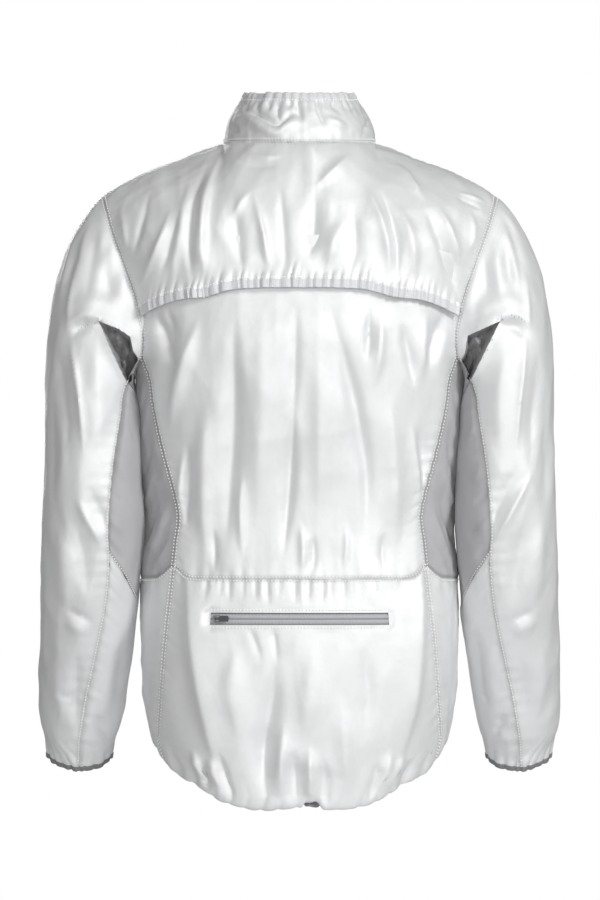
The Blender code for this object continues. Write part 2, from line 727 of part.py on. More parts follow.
def back_lower():
    """The gathered panel below the waist, with a cut for the pocket zip."""
    panel = Panel("back_lower", "silver")
    cut = POCKET_HALF_WIDTH / lower_seam_x(POCKET_TOP_Z)
    beside = np.linspace(cut, 1, 8)
    share = np.concatenate([-beside[::-1], np.linspace(-cut, cut, 20)[1:-1], beside])
    hem = hem_rows(hem_turn(share * lower_seam_x(LOWER_LEVELS[0])))
    wave = np.cos(2 * math.pi * np.arange(len(share)) / GATHER_COLUMNS) * MM
    ends = 1 - smoothstep(0.9, 1.0, np.abs(share))
    for points, height in zip(hem, (1.0, 2.2, 1.6)):
        lift = folds(BACK_FOLDS, points[..., 0], points[..., 2]) + wave * height
        panel.row(share, points, lift * ends)
    start = hem[-1][..., 2]
    waist = waist_z(share * side_seam_x(SEAM_WAIST_Z))
    window = len(panel.points) + list(LOWER_LEVELS).index(POCKET_BOTTOM_Z) - 1
    for level, z in zip(LOWER_LEVELS[1:-1], lower_rows(start, waist, start[-1])):
        if level >= POCKET_BOTTOM_Z:
            z = level + (z - level) * smoothstep(cut, 1.0, np.abs(share))
        x = share * lower_seam_x(z)
        under_waist = smoothstep(-530 * MM, -500 * MM, level)
        lift = folds(BACK_FOLDS, x, z) + wave * 1.2 * under_waist
        panel.row(share, skin(x, z, False), lift * ends)
    seam_share = np.linspace(-1, 1, BACK_COLUMNS)
    x = seam_share * side_seam_x(SEAM_WAIST_Z)
    panel.row(seam_share, skin(x, waist_z(x), False))
    first = int(np.argmin(np.abs(share + cut)))
    last = int(np.argmin(np.abs(share - cut)))
    panel.holes = {(window, i) for i in range(first, last)}
    return panel


def side_lower():
    panel = Panel("side_lower_left", "silver")
    share = np.linspace(0, 1, UNDER_COLUMNS + 1)

    def turns(level):
        start = turn_of(lower_seam_x(level), level)
        return start + (math.pi - 2 * start) * share

    for points in hem_rows(turns(LOWER_LEVELS[0])):
        panel.row(share, points)
    start = panel.points[-1][..., 2]
    waist = waist_z(girth(turns(SEAM_WAIST_Z), SEAM_WAIST_Z)[..., 0])
    for level, z in zip(LOWER_LEVELS[1:], lower_rows(start, waist, start[0])):
        panel.row(share, girth(turns(level), z))
    return panel


def front_panel():
    """The left front, from the hem to the neck and the shoulder seam."""
    panel = Panel("front_left", "silver")
    reach = np.concatenate([neck_x(ZIP_HALF_GAP), shoulder_x()[1:]])
    top_share = (reach - reach[0]) / (reach[-1] - reach[0])
    uniform = np.linspace(0, 1, len(reach))
    top = ridge(reach, True)[0]
    hem_x = ZIP_HALF_GAP + uniform * (lower_seam_x(LOWER_LEVELS[0]) - ZIP_HALF_GAP)
    for points in hem_rows(math.pi - hem_turn(hem_x)):
        panel.row(uniform, points)
    bottom = panel.points[-1][..., 2]
    levels = np.concatenate([LOWER_LEVELS[1:], SIDE_LEVELS[1:], FRONT_ARM_LEVELS[1:]])
    for level in levels:
        climb = (level - bottom[-1]) / (TIP_Z - bottom[-1])
        if level <= SEAM_WAIST_Z:
            edge = lower_seam_x(level)
        elif level <= ARM_SEAM_Z:
            edge = side_seam_x(level)
        else:
            edge = armhole_front_x(level)
        rise = smoothstep(ARM_SEAM_Z, TIP_Z, level)
        share = uniform * (1 - rise) + top_share * rise
        x = ZIP_HALF_GAP + share * (edge - ZIP_HALF_GAP)
        z = bottom + (top - bottom) * climb
        ends = smoothstep(0, 0.2, uniform) * (1 - smoothstep(0.85, 1.0, uniform))
        lift = folds(FRONT_FOLDS, x, z) * ends * (1 - smoothstep(0.9, 1, climb))
        panel.row(uniform, skin(x, z, True), lift)
    return panel


# Collar -------------------------------------------------------------------------------------------


def collar_point(turn, climb):
    """The stand collar at an angle round the neck and a share of its height."""
    base = neck_ring(turn)
    forward = (1 - np.cos(turn)) / 2
    height = COLLAR_BACK_HEIGHT + (COLLAR_FRONT_HEIGHT - COLLAR_BACK_HEIGHT) * forward
    bow = np.sin(math.pi * climb) * COLLAR_BOW
    shrink = (COLLAR_LEAN + COLLAR_SIDE_LEAN * np.sin(turn) ** 2) * climb ** 1.3 - bow
    out = np.stack([np.sin(turn), np.cos(turn)], axis=-1)
    point = base.copy()
    point[..., :2] -= out * shrink[..., None]
    point[..., 2] += height * climb - COLLAR_SIDE_DROP * climb * np.abs(np.sin(turn)) ** 3
    return point


def collar_ends():
    """The front edge's angle on the neck ring, so that the zip fits between the two."""
    return math.pi - math.asin(ZIP_HALF_GAP / NECK_HALF_WIDTH)


def collar():
    panel = Panel("collar", "silver")
    panel.gap = CORNER_GAP
    last = collar_ends()
    half = np.arcsin(np.clip(neck_x(0) / NECK_HALF_WIDTH, 0, 1))
    front = math.pi - np.arcsin(np.clip(neck_x(ZIP_HALF_GAP) / NECK_HALF_WIDTH, 0, 1))
    one_side = np.concatenate([half, front[::-1][1:]])
    base = np.concatenate([-one_side[::-1], one_side[1:]])
    fine = np.linspace(-last, last, GATHER_COLUMNS * COLLAR_GATHERS + 1)
    for climb in COLLAR_CLIMBS:
        turns = fine if climb else base
        wave = gathers((turns / last + 1) / 2, COLLAR_GATHERS) * COLLAR_GATHER_DEPTH
        wave = wave * max(0.0, climb * 2 - 1)
        points = collar_point(turns, np.full(turns.shape, climb))
        behind = np.abs(turns) < math.pi / 2
        crease = np.where(behind, folds(COLLAR_FOLDS, points[..., 0], climb * COLLAR_BACK_HEIGHT), 0)
        calm = 1 - smoothstep(0.94, 1.0, np.abs(turns) / last)
        panel.row(turns, points, (wave + crease) * calm * min(1.0, climb * 4))
    return panel


def collar_band():
    last = collar_ends()
    turns = np.linspace(-last, last, 33)
    top = collar_point(turns, np.ones(turns.shape))
    below = collar_point(turns, np.full(turns.shape, 0.9))
    along = unit(top - below)
    tangent = unit(np.gradient(top, axis=0))
    return top, along, unit(np.cross(tangent, along))


# Sleeves ------------------------------------------------------------------------------------------


def tube(around, z):
    """The left sleeve below its cap, at an angle round it: 0 outer edge, pi/2 back, pi beside the body."""
    centre_x = (sleeve_inner(z) + sleeve_outer(z)) / 2
    half = (sleeve_outer(z) - sleeve_inner(z)) / 2
    tilt = np.radians(sleeve_tilt(z))
    deep = sleeve_depth(z) * np.sin(around)
    return np.stack([
        centre_x + half * np.cos(around),
        sleeve_y(z) + deep * np.cos(tilt),
        z - deep * np.sin(tilt),
    ], axis=-1)


def cap(start, around, share):
    """The sleeve cap: a smooth run from the armhole seam to the top of the tube."""
    end = tube(around, np.full(around.shape, CAP_END_Z))
    reach = np.linalg.norm(end - start, axis=-1, keepdims=True)
    inside = np.maximum(0, -np.cos(around)) ** 2
    outward = CAP_OUTWARD + (UNDERARM_OUTWARD - CAP_OUTWARD) * inside
    leave = unit(np.stack([outward, CAP_SPREAD * np.sin(around), np.full_like(around, -CAP_DROP)], axis=-1))
    arrive = np.array([0.0, 0.0, -1.0])
    t = share
    return ((1 + 2 * t) * (1 - t) ** 2 * start + t * t * (3 - 2 * t) * end
            + reach * t * (1 - t) * ((1 - t) * leave - t * arrive))


def seam_angle(z):
    """The angle of the sleeve's back seam; the front seam mirrors it."""
    return np.arccos(sleeve_seam(z))


def arc_shares(points):
    steps = np.linalg.norm(np.diff(points, axis=0), axis=1)
    return np.concatenate([[0], np.cumsum(steps)]) / steps.sum()


def sleeve_frames():
    """Armhole stations with, for each, which part of the seam-to-seam angle it keeps down the sleeve."""
    back, _, front = armhole_loop()
    points = np.concatenate([front, back[1:]])
    share = np.concatenate([arc_shares(front) - 1, arc_shares(back)[1:]])
    return points, share


def sleeve_lift(around, z):
    return folds(SLEEVE_FOLDS, np.degrees(around) * SLEEVE_DEGREE, z)


def cuff_gather(z):
    """Depth of the gathers, which grow toward the cuff."""
    return CUFF_GATHER_DEPTH * smoothstep(CUFF_GATHER_Z, CUFF_Z, z)


def sleeve_outer_panel():
    panel = Panel("sleeve_outer_left", "silver", centre=SLEEVE_MIDDLE)
    start, share = sleeve_frames()
    fine = np.linspace(-1, 1, GATHER_COLUMNS * OUTER_CUFF_GATHERS + 1)
    for z in TUBE_LEVELS[::-1]:
        across = fine if z < CUFF_GATHER_Z else share
        around = across * seam_angle(z)
        wave = gathers((across + 1) / 2, OUTER_CUFF_GATHERS) * cuff_gather(z)
        lift = sleeve_lift(np.mod(around, 2 * math.pi), z)
        calm = 1 - smoothstep(0.93, 1.0, np.abs(across))
        panel.row(across, tube(around, np.full(around.shape, z)), (lift + wave) * calm)
    around = share * seam_angle(CAP_END_Z)
    for step in CAP_STEPS[::-1][1:]:
        points = cap(start, around, step)
        calm = (1 - smoothstep(0.97, 1.0, np.abs(share))) * smoothstep(0.0, 0.15, step)
        lift = sleeve_lift(np.mod(around, 2 * math.pi), points[..., 2])
        panel.row(share, points, lift * calm)
    return panel


def under_angles(z, share):
    start = seam_angle(z)
    return start + (2 * math.pi - 2 * start) * share


def tip_line(share):
    return INSERT_END_Z + (INSERT_TIP_Z - INSERT_END_Z) * (1 - np.abs(2 * share - 1))


def sleeve_insert_panel():
    panel = Panel("sleeve_insert_left", "stretch", centre=SLEEVE_MIDDLE)
    panel.gap = CORNER_GAP
    start = armhole_loop()[1]
    share = np.linspace(0, 1, UNDER_COLUMNS + 1)
    for z in TUBE_LEVELS[TUBE_LEVELS >= INSERT_END_Z][::-1]:
        climb = (z - CAP_END_Z) / (INSERT_END_Z - CAP_END_Z)
        levels = CAP_END_Z + climb * (tip_line(share) - CAP_END_Z)
        panel.row(share, tube(under_angles(z, share), levels))
    around = under_angles(CAP_END_Z, share)
    for step in CAP_STEPS[::-1][1:]:
        panel.row(share, cap(start, around, step))
    return panel


def sleeve_under_panel():
    panel = Panel("sleeve_under_left", "silver", centre=SLEEVE_MIDDLE)
    coarse = np.linspace(0, 1, UNDER_COLUMNS + 1)
    fine = np.linspace(0, 1, GATHER_COLUMNS * UNDER_CUFF_GATHERS + 1)
    for z in TUBE_LEVELS[TUBE_LEVELS <= INSERT_END_Z][::-1]:
        share = fine if z < CUFF_GATHER_Z else coarse
        climb = (z - CUFF_Z) / (INSERT_END_Z - CUFF_Z)
        levels = CUFF_Z + climb * (tip_line(share) - CUFF_Z)
        wave = gathers(share, UNDER_CUFF_GATHERS) * cuff_gather(z)
        calm = 1 - smoothstep(0.9, 1.0, np.abs(2 * share - 1))
        panel.row(share, tube(under_angles(z, share), levels), wave * calm)
    return panel


def ring_frames(points, lower):
    """Directions of a closed band under a ring of points: on from the cloth, and outward."""
    along = unit(points - lower)
    tangent = unit(np.roll(points, -1, axis=0) - np.roll(points, 1, axis=0))
    return along, unit(np.cross(tangent, along))


def cuff_ring():
    around = np.linspace(0, 2 * math.pi, CUFF_BAND_STEPS + 1)[:-1]
    edge = tube(around, np.full(around.shape, CUFF_Z))
    above = tube(around, np.full(around.shape, CUFF_Z + 8 * MM))
    along, normal = ring_frames(edge, above)
    return edge, along, normal


def hem_ring():
    turns = np.linspace(0, 2 * math.pi, HEM_BAND_STEPS + 1)[:-1]
    edge, fold, _ = hem_rows(turns)
    along, normal = ring_frames(edge, fold)
    return edge, along, normal


# Yoke binding and zips ----------------------------------------------------------------------------


def yoke_band():
    reach = armhole_back_x(YOKE_LEVELS[0]) - HIDDEN_INSET
    x = np.linspace(-reach, reach, 41)
    z = flap_hem_z(np.abs(x))
    edge, below = skin(x, z, False), skin(x, z - 2 * MM, False)
    along = unit(below - edge)
    normal = unit(np.cross(np.gradient(edge, axis=0), along))
    lift = folds(BACK_FOLDS, x, z) * (1 - smoothstep(0.9, 1.0, np.abs(x) / reach))
    return edge + normal * lift[:, None], along, normal


def pocket_tape(name, low, high):
    """One half of the pocket zip's tape, behind the cut in the lower back panel."""
    panel = Panel(name, "tape")
    panel.thickness = TAPE
    reach = POCKET_HALF_WIDTH + TAPE_COVER
    x = np.linspace(-reach, reach, 21)
    for z in (low, high):
        panel.row(x, skin(x, z, False), -TAPE_SINK)
    return panel


def front_tape(front):
    """The left half of the front zip's tape, from the hem to the top of the collar."""
    panel = Panel("front_tape_left", "tape")
    panel.thickness = TAPE
    x = np.array([SEAM_GAP / 2, ZIP_HALF_GAP + TAPE_COVER])
    turns = math.pi - np.arcsin(x / NECK_HALF_WIDTH)
    for place, climb, extra in front_stations(front):
        points = collar_point(turns, np.full(2, climb)) if climb else skin(x, place, True)
        panel.row(x, points, -TAPE_SINK - extra)
    return panel


def front_stations(front):
    """Up the centre front: height on the body, share of the collar, and how much deeper the zip lies."""
    heights = [row[0, 2] for row in front.points[2:]]
    stations = [(z, 0.0, NECK_TAPE_SINK * smoothstep(-25 * MM, 0, z - heights[-1])) for z in heights]
    return stations + [(0.0, climb, NECK_TAPE_SINK * (climb < 0.6)) for climb in COLLAR_CLIMBS[1:]]


def front_line(front):
    """The front's centre line, from the hem to the top of the collar."""
    ahead = np.float64(math.pi)
    return np.array([collar_point(ahead, np.float64(climb)) if climb else skin(0.0, z, True)
                     for z, climb, _ in front_stations(front)])


def line_normals(line, across):
    return unit(np.cross(across, np.gradient(line, axis=0)))


def prism(outline, low, high):
    """An upright prism on an outline of (x, y) points that runs anticlockwise."""
    count = len(outline)
    points = [(x, y, low) for x, y in outline] + [(x, y, high) for x, y in outline]
    faces = [tuple(reversed(range(count))), tuple(range(count, 2 * count))]
    faces += [(i, (i + 1) % count, (i + 1) % count + count, i + count) for i in range(count)]
    return np.array(points), faces


def rounded(length, width, corner, steps=3):
    """A rectangle's outline with round corners, about the origin."""
    outline = []
    for quarter in range(4):
        cx = (length / 2 - corner) * (1 if quarter in (0, 3) else -1)
        cy = (width / 2 - corner) * (1 if quarter in (0, 1) else -1)
        for step in range(steps + 1):
            angle = math.pi / 2 * (quarter + step / steps)
            outline.append((cx + corner * math.cos(angle), cy + corner * math.sin(angle)))
    return outline


def joined(name, finish, first, second, place):
    """Two overlapping solids as one, put in place."""
    made = add_object(name, *first, finish)
    tool = add_object(name + "_part", *second, finish)
    tool.hide_render = True
    tool.display_type = "WIRE"
    made.matrix_world = place
    tool.matrix_world = place
    union = made.modifiers.new("union", "BOOLEAN")
    union.operation = "UNION"
    union.solver = "EXACT"
    union.object = tool
    return made


def add_slider(prefix, seat, toward, outward):
    """A zip slider with its bail, and the pull tab that hangs on the bail and lies toward one side."""
    side = np.cross(outward, toward)
    place = Matrix(np.stack([toward, side, outward], axis=1).tolist()).to_4x4()
    place.translation = Vector(seat)
    plate = prism(rounded(SLIDER_LENGTH, SLIDER_WIDTH, SLIDER_CORNER), 0, SLIDER_PLATE)
    foot, top, half = SLIDER_PLATE / 2, BAIL_HEIGHT + BAIL_BAR / 2, BAIL_SPAN / 2
    staple = [(-half - BAIL_POST, foot), (-half, foot), (-half, top - BAIL_BAR), (half, top - BAIL_BAR),
              (half, foot), (half + BAIL_POST, foot), (half + BAIL_POST, top), (-half - BAIL_POST, top)]
    points, faces = prism(staple, -BAIL_DEPTH / 2, BAIL_DEPTH / 2)
    joined(prefix + "_slider", "metal", plate, (points[:, [2, 0, 1]], faces), place)
    eye = BAIL_SPAN - 2 * EYE_PLAY
    start, wide = EYE_INNER + EYE_PLAY, TAB_WIDTH / 2
    upper = [(TAB_LENGTH, wide - TAB_BEVEL), (TAB_LENGTH - TAB_BEVEL, wide), (TAB_NECK + TAB_BEVEL, wide),
             (TAB_NECK, eye / 2), (start, eye / 2)]
    outline = [(x, -y) for x, y in reversed(upper)] + upper
    tab = prism(outline, -TAB_THICK / 2, TAB_THICK / 2)
    axis_place = place.copy()
    axis_place.translation = place @ Vector((0, 0, BAIL_HEIGHT))
    joined(prefix + "_pull", "rubber", eye_ring(EYE_INNER, EYE_OUTER, eye), tab, axis_place)


def eye_ring(inner, outer, length, sides=12):
    """A short tube along y round the bail's bar."""
    points, faces = [], []
    for y in (-length / 2, length / 2):
        for radius in (inner, outer):
            for i in range(sides):
                angle = 2 * math.pi * (i + 0.5) / sides
                points.append((radius * math.cos(angle), y, radius * math.sin(angle)))
    near_in, near_out, far_in, far_out = (k * sides for k in range(4))
    for i in range(sides):
        j = (i + 1) % sides
        faces.append((near_out + i, far_out + i, far_out + j, near_out + j))
        faces.append((near_in + j, far_in + j, far_in + i, near_in + i))
        faces.append((near_in + i, near_out + i, near_out + j, near_in + j))
        faces.append((far_in + j, far_out + j, far_out + i, far_in + i))
    return np.array(points), outward_faces(np.array(points), faces)


def add_pocket_zip():
    middle_z = (POCKET_TOP_Z + POCKET_BOTTOM_Z) / 2
    reach = POCKET_HALF_WIDTH + TAPE_COVER
    x = np.linspace(-reach, reach, 21)
    low, high = skin(x, middle_z - COIL / 2, False), skin(x, middle_z, False)
    along = unit(high - low)
    normal = unit(np.cross(along, np.gradient(low, axis=0)))
    edge = low - normal * COIL_SINK
    add_band("pocket_coil", "tape", edge, along, normal, (COIL, COIL_THICK), closed=False)
    seat_x = POCKET_HALF_WIDTH - SLIDER_INSET
    seat, beside, above = (skin(a, b, False) for a, b in (
        (seat_x, middle_z), (seat_x - MM, middle_z), (seat_x, middle_z + MM)))
    toward = unit(beside - seat)
    outward = unit(np.cross(toward, above - seat))
    add_slider("pocket", seat + outward * SLIDER_SEAT, toward, outward)


def add_front_zip(front):
    line = front_line(front)
    across = np.array([1.0, 0.0, 0.0])
    normals = line_normals(line, across)
    sides = np.broadcast_to(across, line.shape)
    extra = np.array([station[2] for station in front_stations(front)])
    edge = line - normals * (COIL_SINK + extra)[:, None] - sides * COIL / 2
    add_band("front_coil", "tape", edge, sides, normals, (COIL, COIL_THICK), closed=False)
    seat, below = (collar_point(np.float64(math.pi), np.float64(climb))
                   for climb in (FRONT_SLIDER_CLIMB, FRONT_SLIDER_CLIMB - 0.06))
    toward = unit(below - seat)
    outward = unit(np.cross(toward, across))
    add_slider("front", seat + outward * SLIDER_SEAT, toward, outward)


# Assembly -----------------------------------------------------------------------------------------


def mirrored(panel):
    other = Panel(panel.name.replace("left", "right"), panel.finish, (-panel.centre[0], panel.centre[1]))
    other.thickness, other.gap = panel.thickness, panel.gap
    other.shares, other.push, other.holes = panel.shares, panel.push, panel.holes
    other.points = [row * np.array([-1.0, 1.0, 1.0]) for row in panel.points]
    return other


def main():
    for thing in list(bpy.data.objects):
        bpy.data.objects.remove(thing, do_unlink=True)
    pocket_middle = (POCKET_TOP_Z + POCKET_BOTTOM_Z) / 2
    front = front_panel()
    panels = [
        back_yoke(), back_panel(), back_lower(), collar(),
        pocket_tape("pocket_tape_upper", pocket_middle, POCKET_TOP_Z + TAPE_COVER),
        pocket_tape("pocket_tape_lower", POCKET_BOTTOM_Z - TAPE_COVER, pocket_middle),
    ]
    for piece in (side_panel(), side_lower(), front, front_tape(front), sleeve_outer_panel(),
                  sleeve_insert_panel(), sleeve_under_panel()):
        panels += [piece, mirrored(piece)]
    for panel in panels:
        panel.build()
    share_normals(panels)
    for panel in panels:
        add_object(panel.name, *panel.solid(), panel.finish)
    add_band("collar_binding", "pale_elastic", *collar_band(), COLLAR_BAND, closed=False)
    add_band("yoke_binding", "pale_elastic", *yoke_band(), YOKE_BAND, closed=False)
    add_pocket_zip()
    add_front_zip(front)
    flip = np.array([-1.0, 1.0, 1.0])
    for side, sign in (("left", np.ones(3)), ("right", flip)):
        ring = [part * sign for part in cuff_ring()]
        add_band("cuff_binding_" + side, "dark_elastic", *ring, CUFF_BAND, closed=True)
    add_band("hem_binding", "dark_elastic", *hem_ring(), HEM_BAND, closed=True, gap=CORNER_GAP)


main()
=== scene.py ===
import math

import bpy
import numpy as np
from bpy.props import FloatProperty, FloatVectorProperty, PointerProperty
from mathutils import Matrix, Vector


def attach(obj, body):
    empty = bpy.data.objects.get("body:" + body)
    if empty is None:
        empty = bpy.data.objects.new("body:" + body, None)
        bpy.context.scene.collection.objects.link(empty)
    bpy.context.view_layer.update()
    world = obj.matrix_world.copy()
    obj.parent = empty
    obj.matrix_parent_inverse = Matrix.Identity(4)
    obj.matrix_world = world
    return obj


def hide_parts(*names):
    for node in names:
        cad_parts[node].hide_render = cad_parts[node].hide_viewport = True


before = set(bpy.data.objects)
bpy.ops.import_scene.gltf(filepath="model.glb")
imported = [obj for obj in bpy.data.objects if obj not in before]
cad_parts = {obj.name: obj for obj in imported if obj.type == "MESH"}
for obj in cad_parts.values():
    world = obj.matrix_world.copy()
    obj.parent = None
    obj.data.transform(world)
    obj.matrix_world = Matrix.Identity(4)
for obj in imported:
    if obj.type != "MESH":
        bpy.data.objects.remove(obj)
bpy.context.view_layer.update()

bl_info = {
    "name": "Reflective jacket",
    "version": (1, 0, 0),
    "blender": (4, 5, 0),
    "location": "3D View > Sidebar > Jacket",
    "description": "Dresses the jacket: cloth, folds, gathers, bindings, zips and stitching",
    "category": "Object",
}

MM = 0.001

# Shape of the jacket ------------------------------------------------------------------------------
# Metres, +Z up. The wearer faces -Y, so +X is the wearer's left side.

CLOTH = 1.2 * MM  # wall of the solids
SEAM_GAP = 0.3 * MM
ROUNDNESS = 2.4  # exponent of the body's sections: 2 is an ellipse, more is boxier
SHOULDER_DROP = 100 * MM
SHOULDER_ROLL = 1.8
NECK_HALF_WIDTH = 85 * MM
NECK_CENTRE_Y = -12.5 * MM
NECK_DEPTH = 82.5 * MM
NECK_BACK_Z = -2 * MM
NECK_FRONT_DROP = 63 * MM
CAP_OUTWARD = 0.74
UNDERARM_OUTWARD = 0.35
CAP_SPREAD = 0.35
CAP_DROP = 0.66
CAP_END_Z = -300 * MM  # where the sleeve cap has become a plain tube
SLEEVE_MIDDLE = (236 * MM, -10 * MM)
INSERT_END_Z = -453 * MM
INSERT_TIP_Z = -527 * MM
CUFF_Z = -684 * MM
FLAP_COVER = 50 * MM
FLAP_STAND = 5.0 * MM
HIDDEN_SINK = 4.2 * MM
HIDDEN_INSET = 3 * MM
COLLAR_BACK_HEIGHT = 50 * MM
COLLAR_FRONT_HEIGHT = 62 * MM
COLLAR_LEAN = 17 * MM
COLLAR_SIDE_LEAN = 4 * MM
COLLAR_BOW = 3.5 * MM
COLLAR_SIDE_DROP = 4 * MM
ZIP_HALF_GAP = 6.5 * MM  # each front stops this far from the centre line
HEM_TUCK_RISE = 8 * MM
HEM_TUCK_INSET = 9 * MM
HEM_FOLD_INSET = 2.5 * MM
HEM_SIDE_RISE = 6 * MM
HEM_ROLL_HEIGHT = 15 * MM
HEM_MIDDLE = (0.0, -3 * MM)
NOTCH_RISE = 7 * MM
NOTCH_START = (-27 * MM, -20 * MM)  # x of the two slopes beside the notch
NOTCH_END = (-7 * MM, -1 * MM)
HEM_ROWS = 12  # rows of points round the hem's fold
HEM_DENT = 1.5 * MM  # the deepest dent at the hem, which clears the elastic inside
HEM_GATHER_REACH = 30 * MM
HEM_GATHER_LEVEL = 0.15
SIDE_HEM_DEGREES = 16
YOKE_BAND = (10.0 * MM, 2.4 * MM)  # binding height and thickness
BAR_TACKS = (107 * MM, -104.7 * MM)  # x of the two short rows of stitches across the yoke's binding
COLLAR_BAND = (7.5 * MM, 2.4 * MM)
CUFF_BAND = (6.0 * MM, 2.4 * MM)
HEM_BAND = (8.0 * MM, 2.6 * MM)
POCKET_HALF_WIDTH = 98.5 * MM
POCKET_TOP_Z = -526 * MM
POCKET_BOTTOM_Z = -539.5 * MM
POCKET_FLAT = 7 * MM  # the cloth lies flat this far above and below the middle of the zip
TAPE = 0.8 * MM
TAPE_COVER = 4 * MM
TAPE_SINK = CLOTH / 2 + SEAM_GAP + TAPE / 2 + 0.1 * MM
NECK_TAPE_SINK = 1.2 * MM
COIL = 4 * MM
COIL_THICK = 1.4 * MM
COIL_SINK = TAPE_SINK + TAPE / 2 + SEAM_GAP + COIL_THICK / 2


def columns(names, rows, plain=()):
    """A short table as named arrays, in metres; the columns named in plain are not lengths."""
    values = np.array(rows, float).T
    return {name: column * (1 if name in plain else MM) for name, column in zip(names.split(), values)}


BODY = columns("z half_width back front", [
    (-750, 148, 100, 100),
    (-700, 158, 106, 106),
    (-670, 166, 110, 111),
    (-625, 175, 113, 116),
    (-570, 178, 113, 117),
    (-530, 178.5, 109, 115),
    (-485, 178.5, 103, 113),
    (-430, 174, 99, 113),
    (-383, 177, 102, 116),
    (-356, 179, 105, 119),
    (-309, 181, 111, 123),
    (-262, 185, 115, 125),
    (-222, 189, 117, 124),
    (-187, 195, 117, 121),
    (-141, 208, 114, 115),
    (-96, 228, 108, 108),
    (-60, 242, 102, 104),
    (10, 262, 92, 98),
])
RIDGE = columns("x z", [
    (0, -0.5), (85, -0.5), (100, -4.5), (133, -18), (170, -31.5), (197, -45), (221.5, -60), (240, -72),
])
ARMHOLE = columns("z back_x front_x", [
    (-241, 176, 176),
    (-220, 174.8, 171.5),
    (-187, 180, 173),
    (-138, 196, 187),
    (-92, 212.5, 207),
    (-60, 221.5, 221.5),
])
UNDERARM_Z = -262 * MM
ARM_SEAM_Z = ARMHOLE["z"][0]
YOKE_END_Z = ARMHOLE["z"][2]
TIP_Z = ARMHOLE["z"][-1]
SIDE_SEAM = columns("z x", [
    (-475, 141), (-450, 138.5), (-416, 135), (-397, 138.5), (-360, 148.5), (-323, 157.5), (-289, 164),
    (-266, 167), (-241, 176),
])
LOWER_SEAM = columns("z x", [(-690, 160), (-672, 158.5), (-562, 150.5), (-475, 141)])
SEAM_WAIST_Z = SIDE_SEAM["z"][0]
WAIST_Z = -488.5 * MM
WAIST_PUCKER_X = 141 * MM
WAIST_PUCKER_REACH = 11 * MM
LOWER_Z = -668 * MM  # where the lower side seams reach the hem
POCKET_ROWS_TOP_Z = -508 * MM
POCKET_ROWS_START = (-600 * MM, -545 * MM)  # where the rows straighten on their way up to the pocket
FLAP_HEM = columns("x z", [
    (0, -155), (44, -155.5), (77, -157.7), (104, -165), (136, -168.5), (157, -175), (172, -182.5),
    (180, -187),
])
HEM_LINE = columns("degrees z", [
    (0, -742), (15, -744), (30, -736), (44, -720), (65, -703), (76, -687), (90, -671),
    (110, -662), (140, -657), (180, -655),
], plain=["degrees"])
SLEEVE = columns("z inner outer centre_y half_depth tilt", [
    (-684, 211, 285, -80, 40, 28),
    (-670, 208, 288, -75, 42, 28),
    (-653, 202, 294, -68, 46, 27),
    (-636, 198, 295, -60, 48, 26),
    (-602, 193, 294.5, -46, 50, 24),
    (-535, 183, 292, -14, 54, 18),
    (-485, 179.5, 291, 6, 56, 12),
    (-430, 174, 289, 17, 57, 5),
    (-370, 178, 286.5, 18, 59, 0),
    (-300, 183.5, 285, 14, 62, 0),
], plain=["tilt"])
SIDE_LINE = columns("z y", [(-750, 0), (-560, -8), (-480, -14), (-320, -14), (-262, -6), (-200, 0), (0, 0)])
SLEEVE_SEAM = columns("z across", [
    (-684, 0.03), (-613, -0.08), (-563, -0.20), (-467, -0.39), (-435, -0.32), (-369, -0.44), (-300, -0.70),
], plain=["across"])


def spline(xs, ys):
    """A smooth curve through stations with rising xs, straight past neither end."""
    xs, ys = np.asarray(xs, float), np.asarray(ys, float)
    slopes = np.gradient(ys, xs, axis=0)

    def at(x):
        x = np.clip(np.asarray(x, float), xs[0], xs[-1])
        i = np.clip(np.searchsorted(xs, x, side="right") - 1, 0, len(xs) - 2)
        step = xs[i + 1] - xs[i]
        t = (x - xs[i]) / step
        start = (1 + 2 * t) * (1 - t) ** 2
        return (start * ys[i] + (1 - start) * ys[i + 1]
                + step * t * (1 - t) * ((1 - t) * slopes[i] - t * slopes[i + 1]))

    return at


def curves(table):
    """A smooth curve for each column after the first, over the first."""
    at, *others = table.values()
    order = np.argsort(at)
    return [spline(at[order], values[order]) for values in others]


half_width, back_depth, front_depth = curves(BODY)
side_line, = curves(SIDE_LINE)
ridge_z, = curves(RIDGE)
armhole_back_x, armhole_front_x = curves(ARMHOLE)
side_seam_x, = curves(SIDE_SEAM)
lower_seam_x, = curves(LOWER_SEAM)
flap_hem_z, = curves(FLAP_HEM)
hem_z, = curves(HEM_LINE)
sleeve_inner, sleeve_outer, sleeve_y, sleeve_depth, sleeve_tilt = curves(SLEEVE)
sleeve_seam, = curves(SLEEVE_SEAM)


def smoothstep(low, high, value):
    t = np.clip((value - low) / (high - low), 0, 1)
    return t * t * (3 - 2 * t)


def unit(vectors):
    return vectors / np.maximum(np.linalg.norm(vectors, axis=-1, keepdims=True), 1e-12)


def smoothed(values, window):
    """Values along a line, averaged with their neighbours under a window of an odd length."""
    return np.convolve(np.pad(values, len(window) // 2, mode="edge"), window / window.sum(), mode="valid")


def neck_ring(turn):
    """The neck seam at an angle from the back: 0 at the back, pi at the front."""
    forward = np.maximum(0, -np.cos(turn)) ** 1.2
    return np.stack([
        NECK_HALF_WIDTH * np.sin(turn),
        NECK_CENTRE_Y + NECK_DEPTH * np.cos(turn),
        NECK_BACK_Z + 1.5 * MM * np.sin(turn) ** 2 - NECK_FRONT_DROP * forward,
    ], axis=-1)


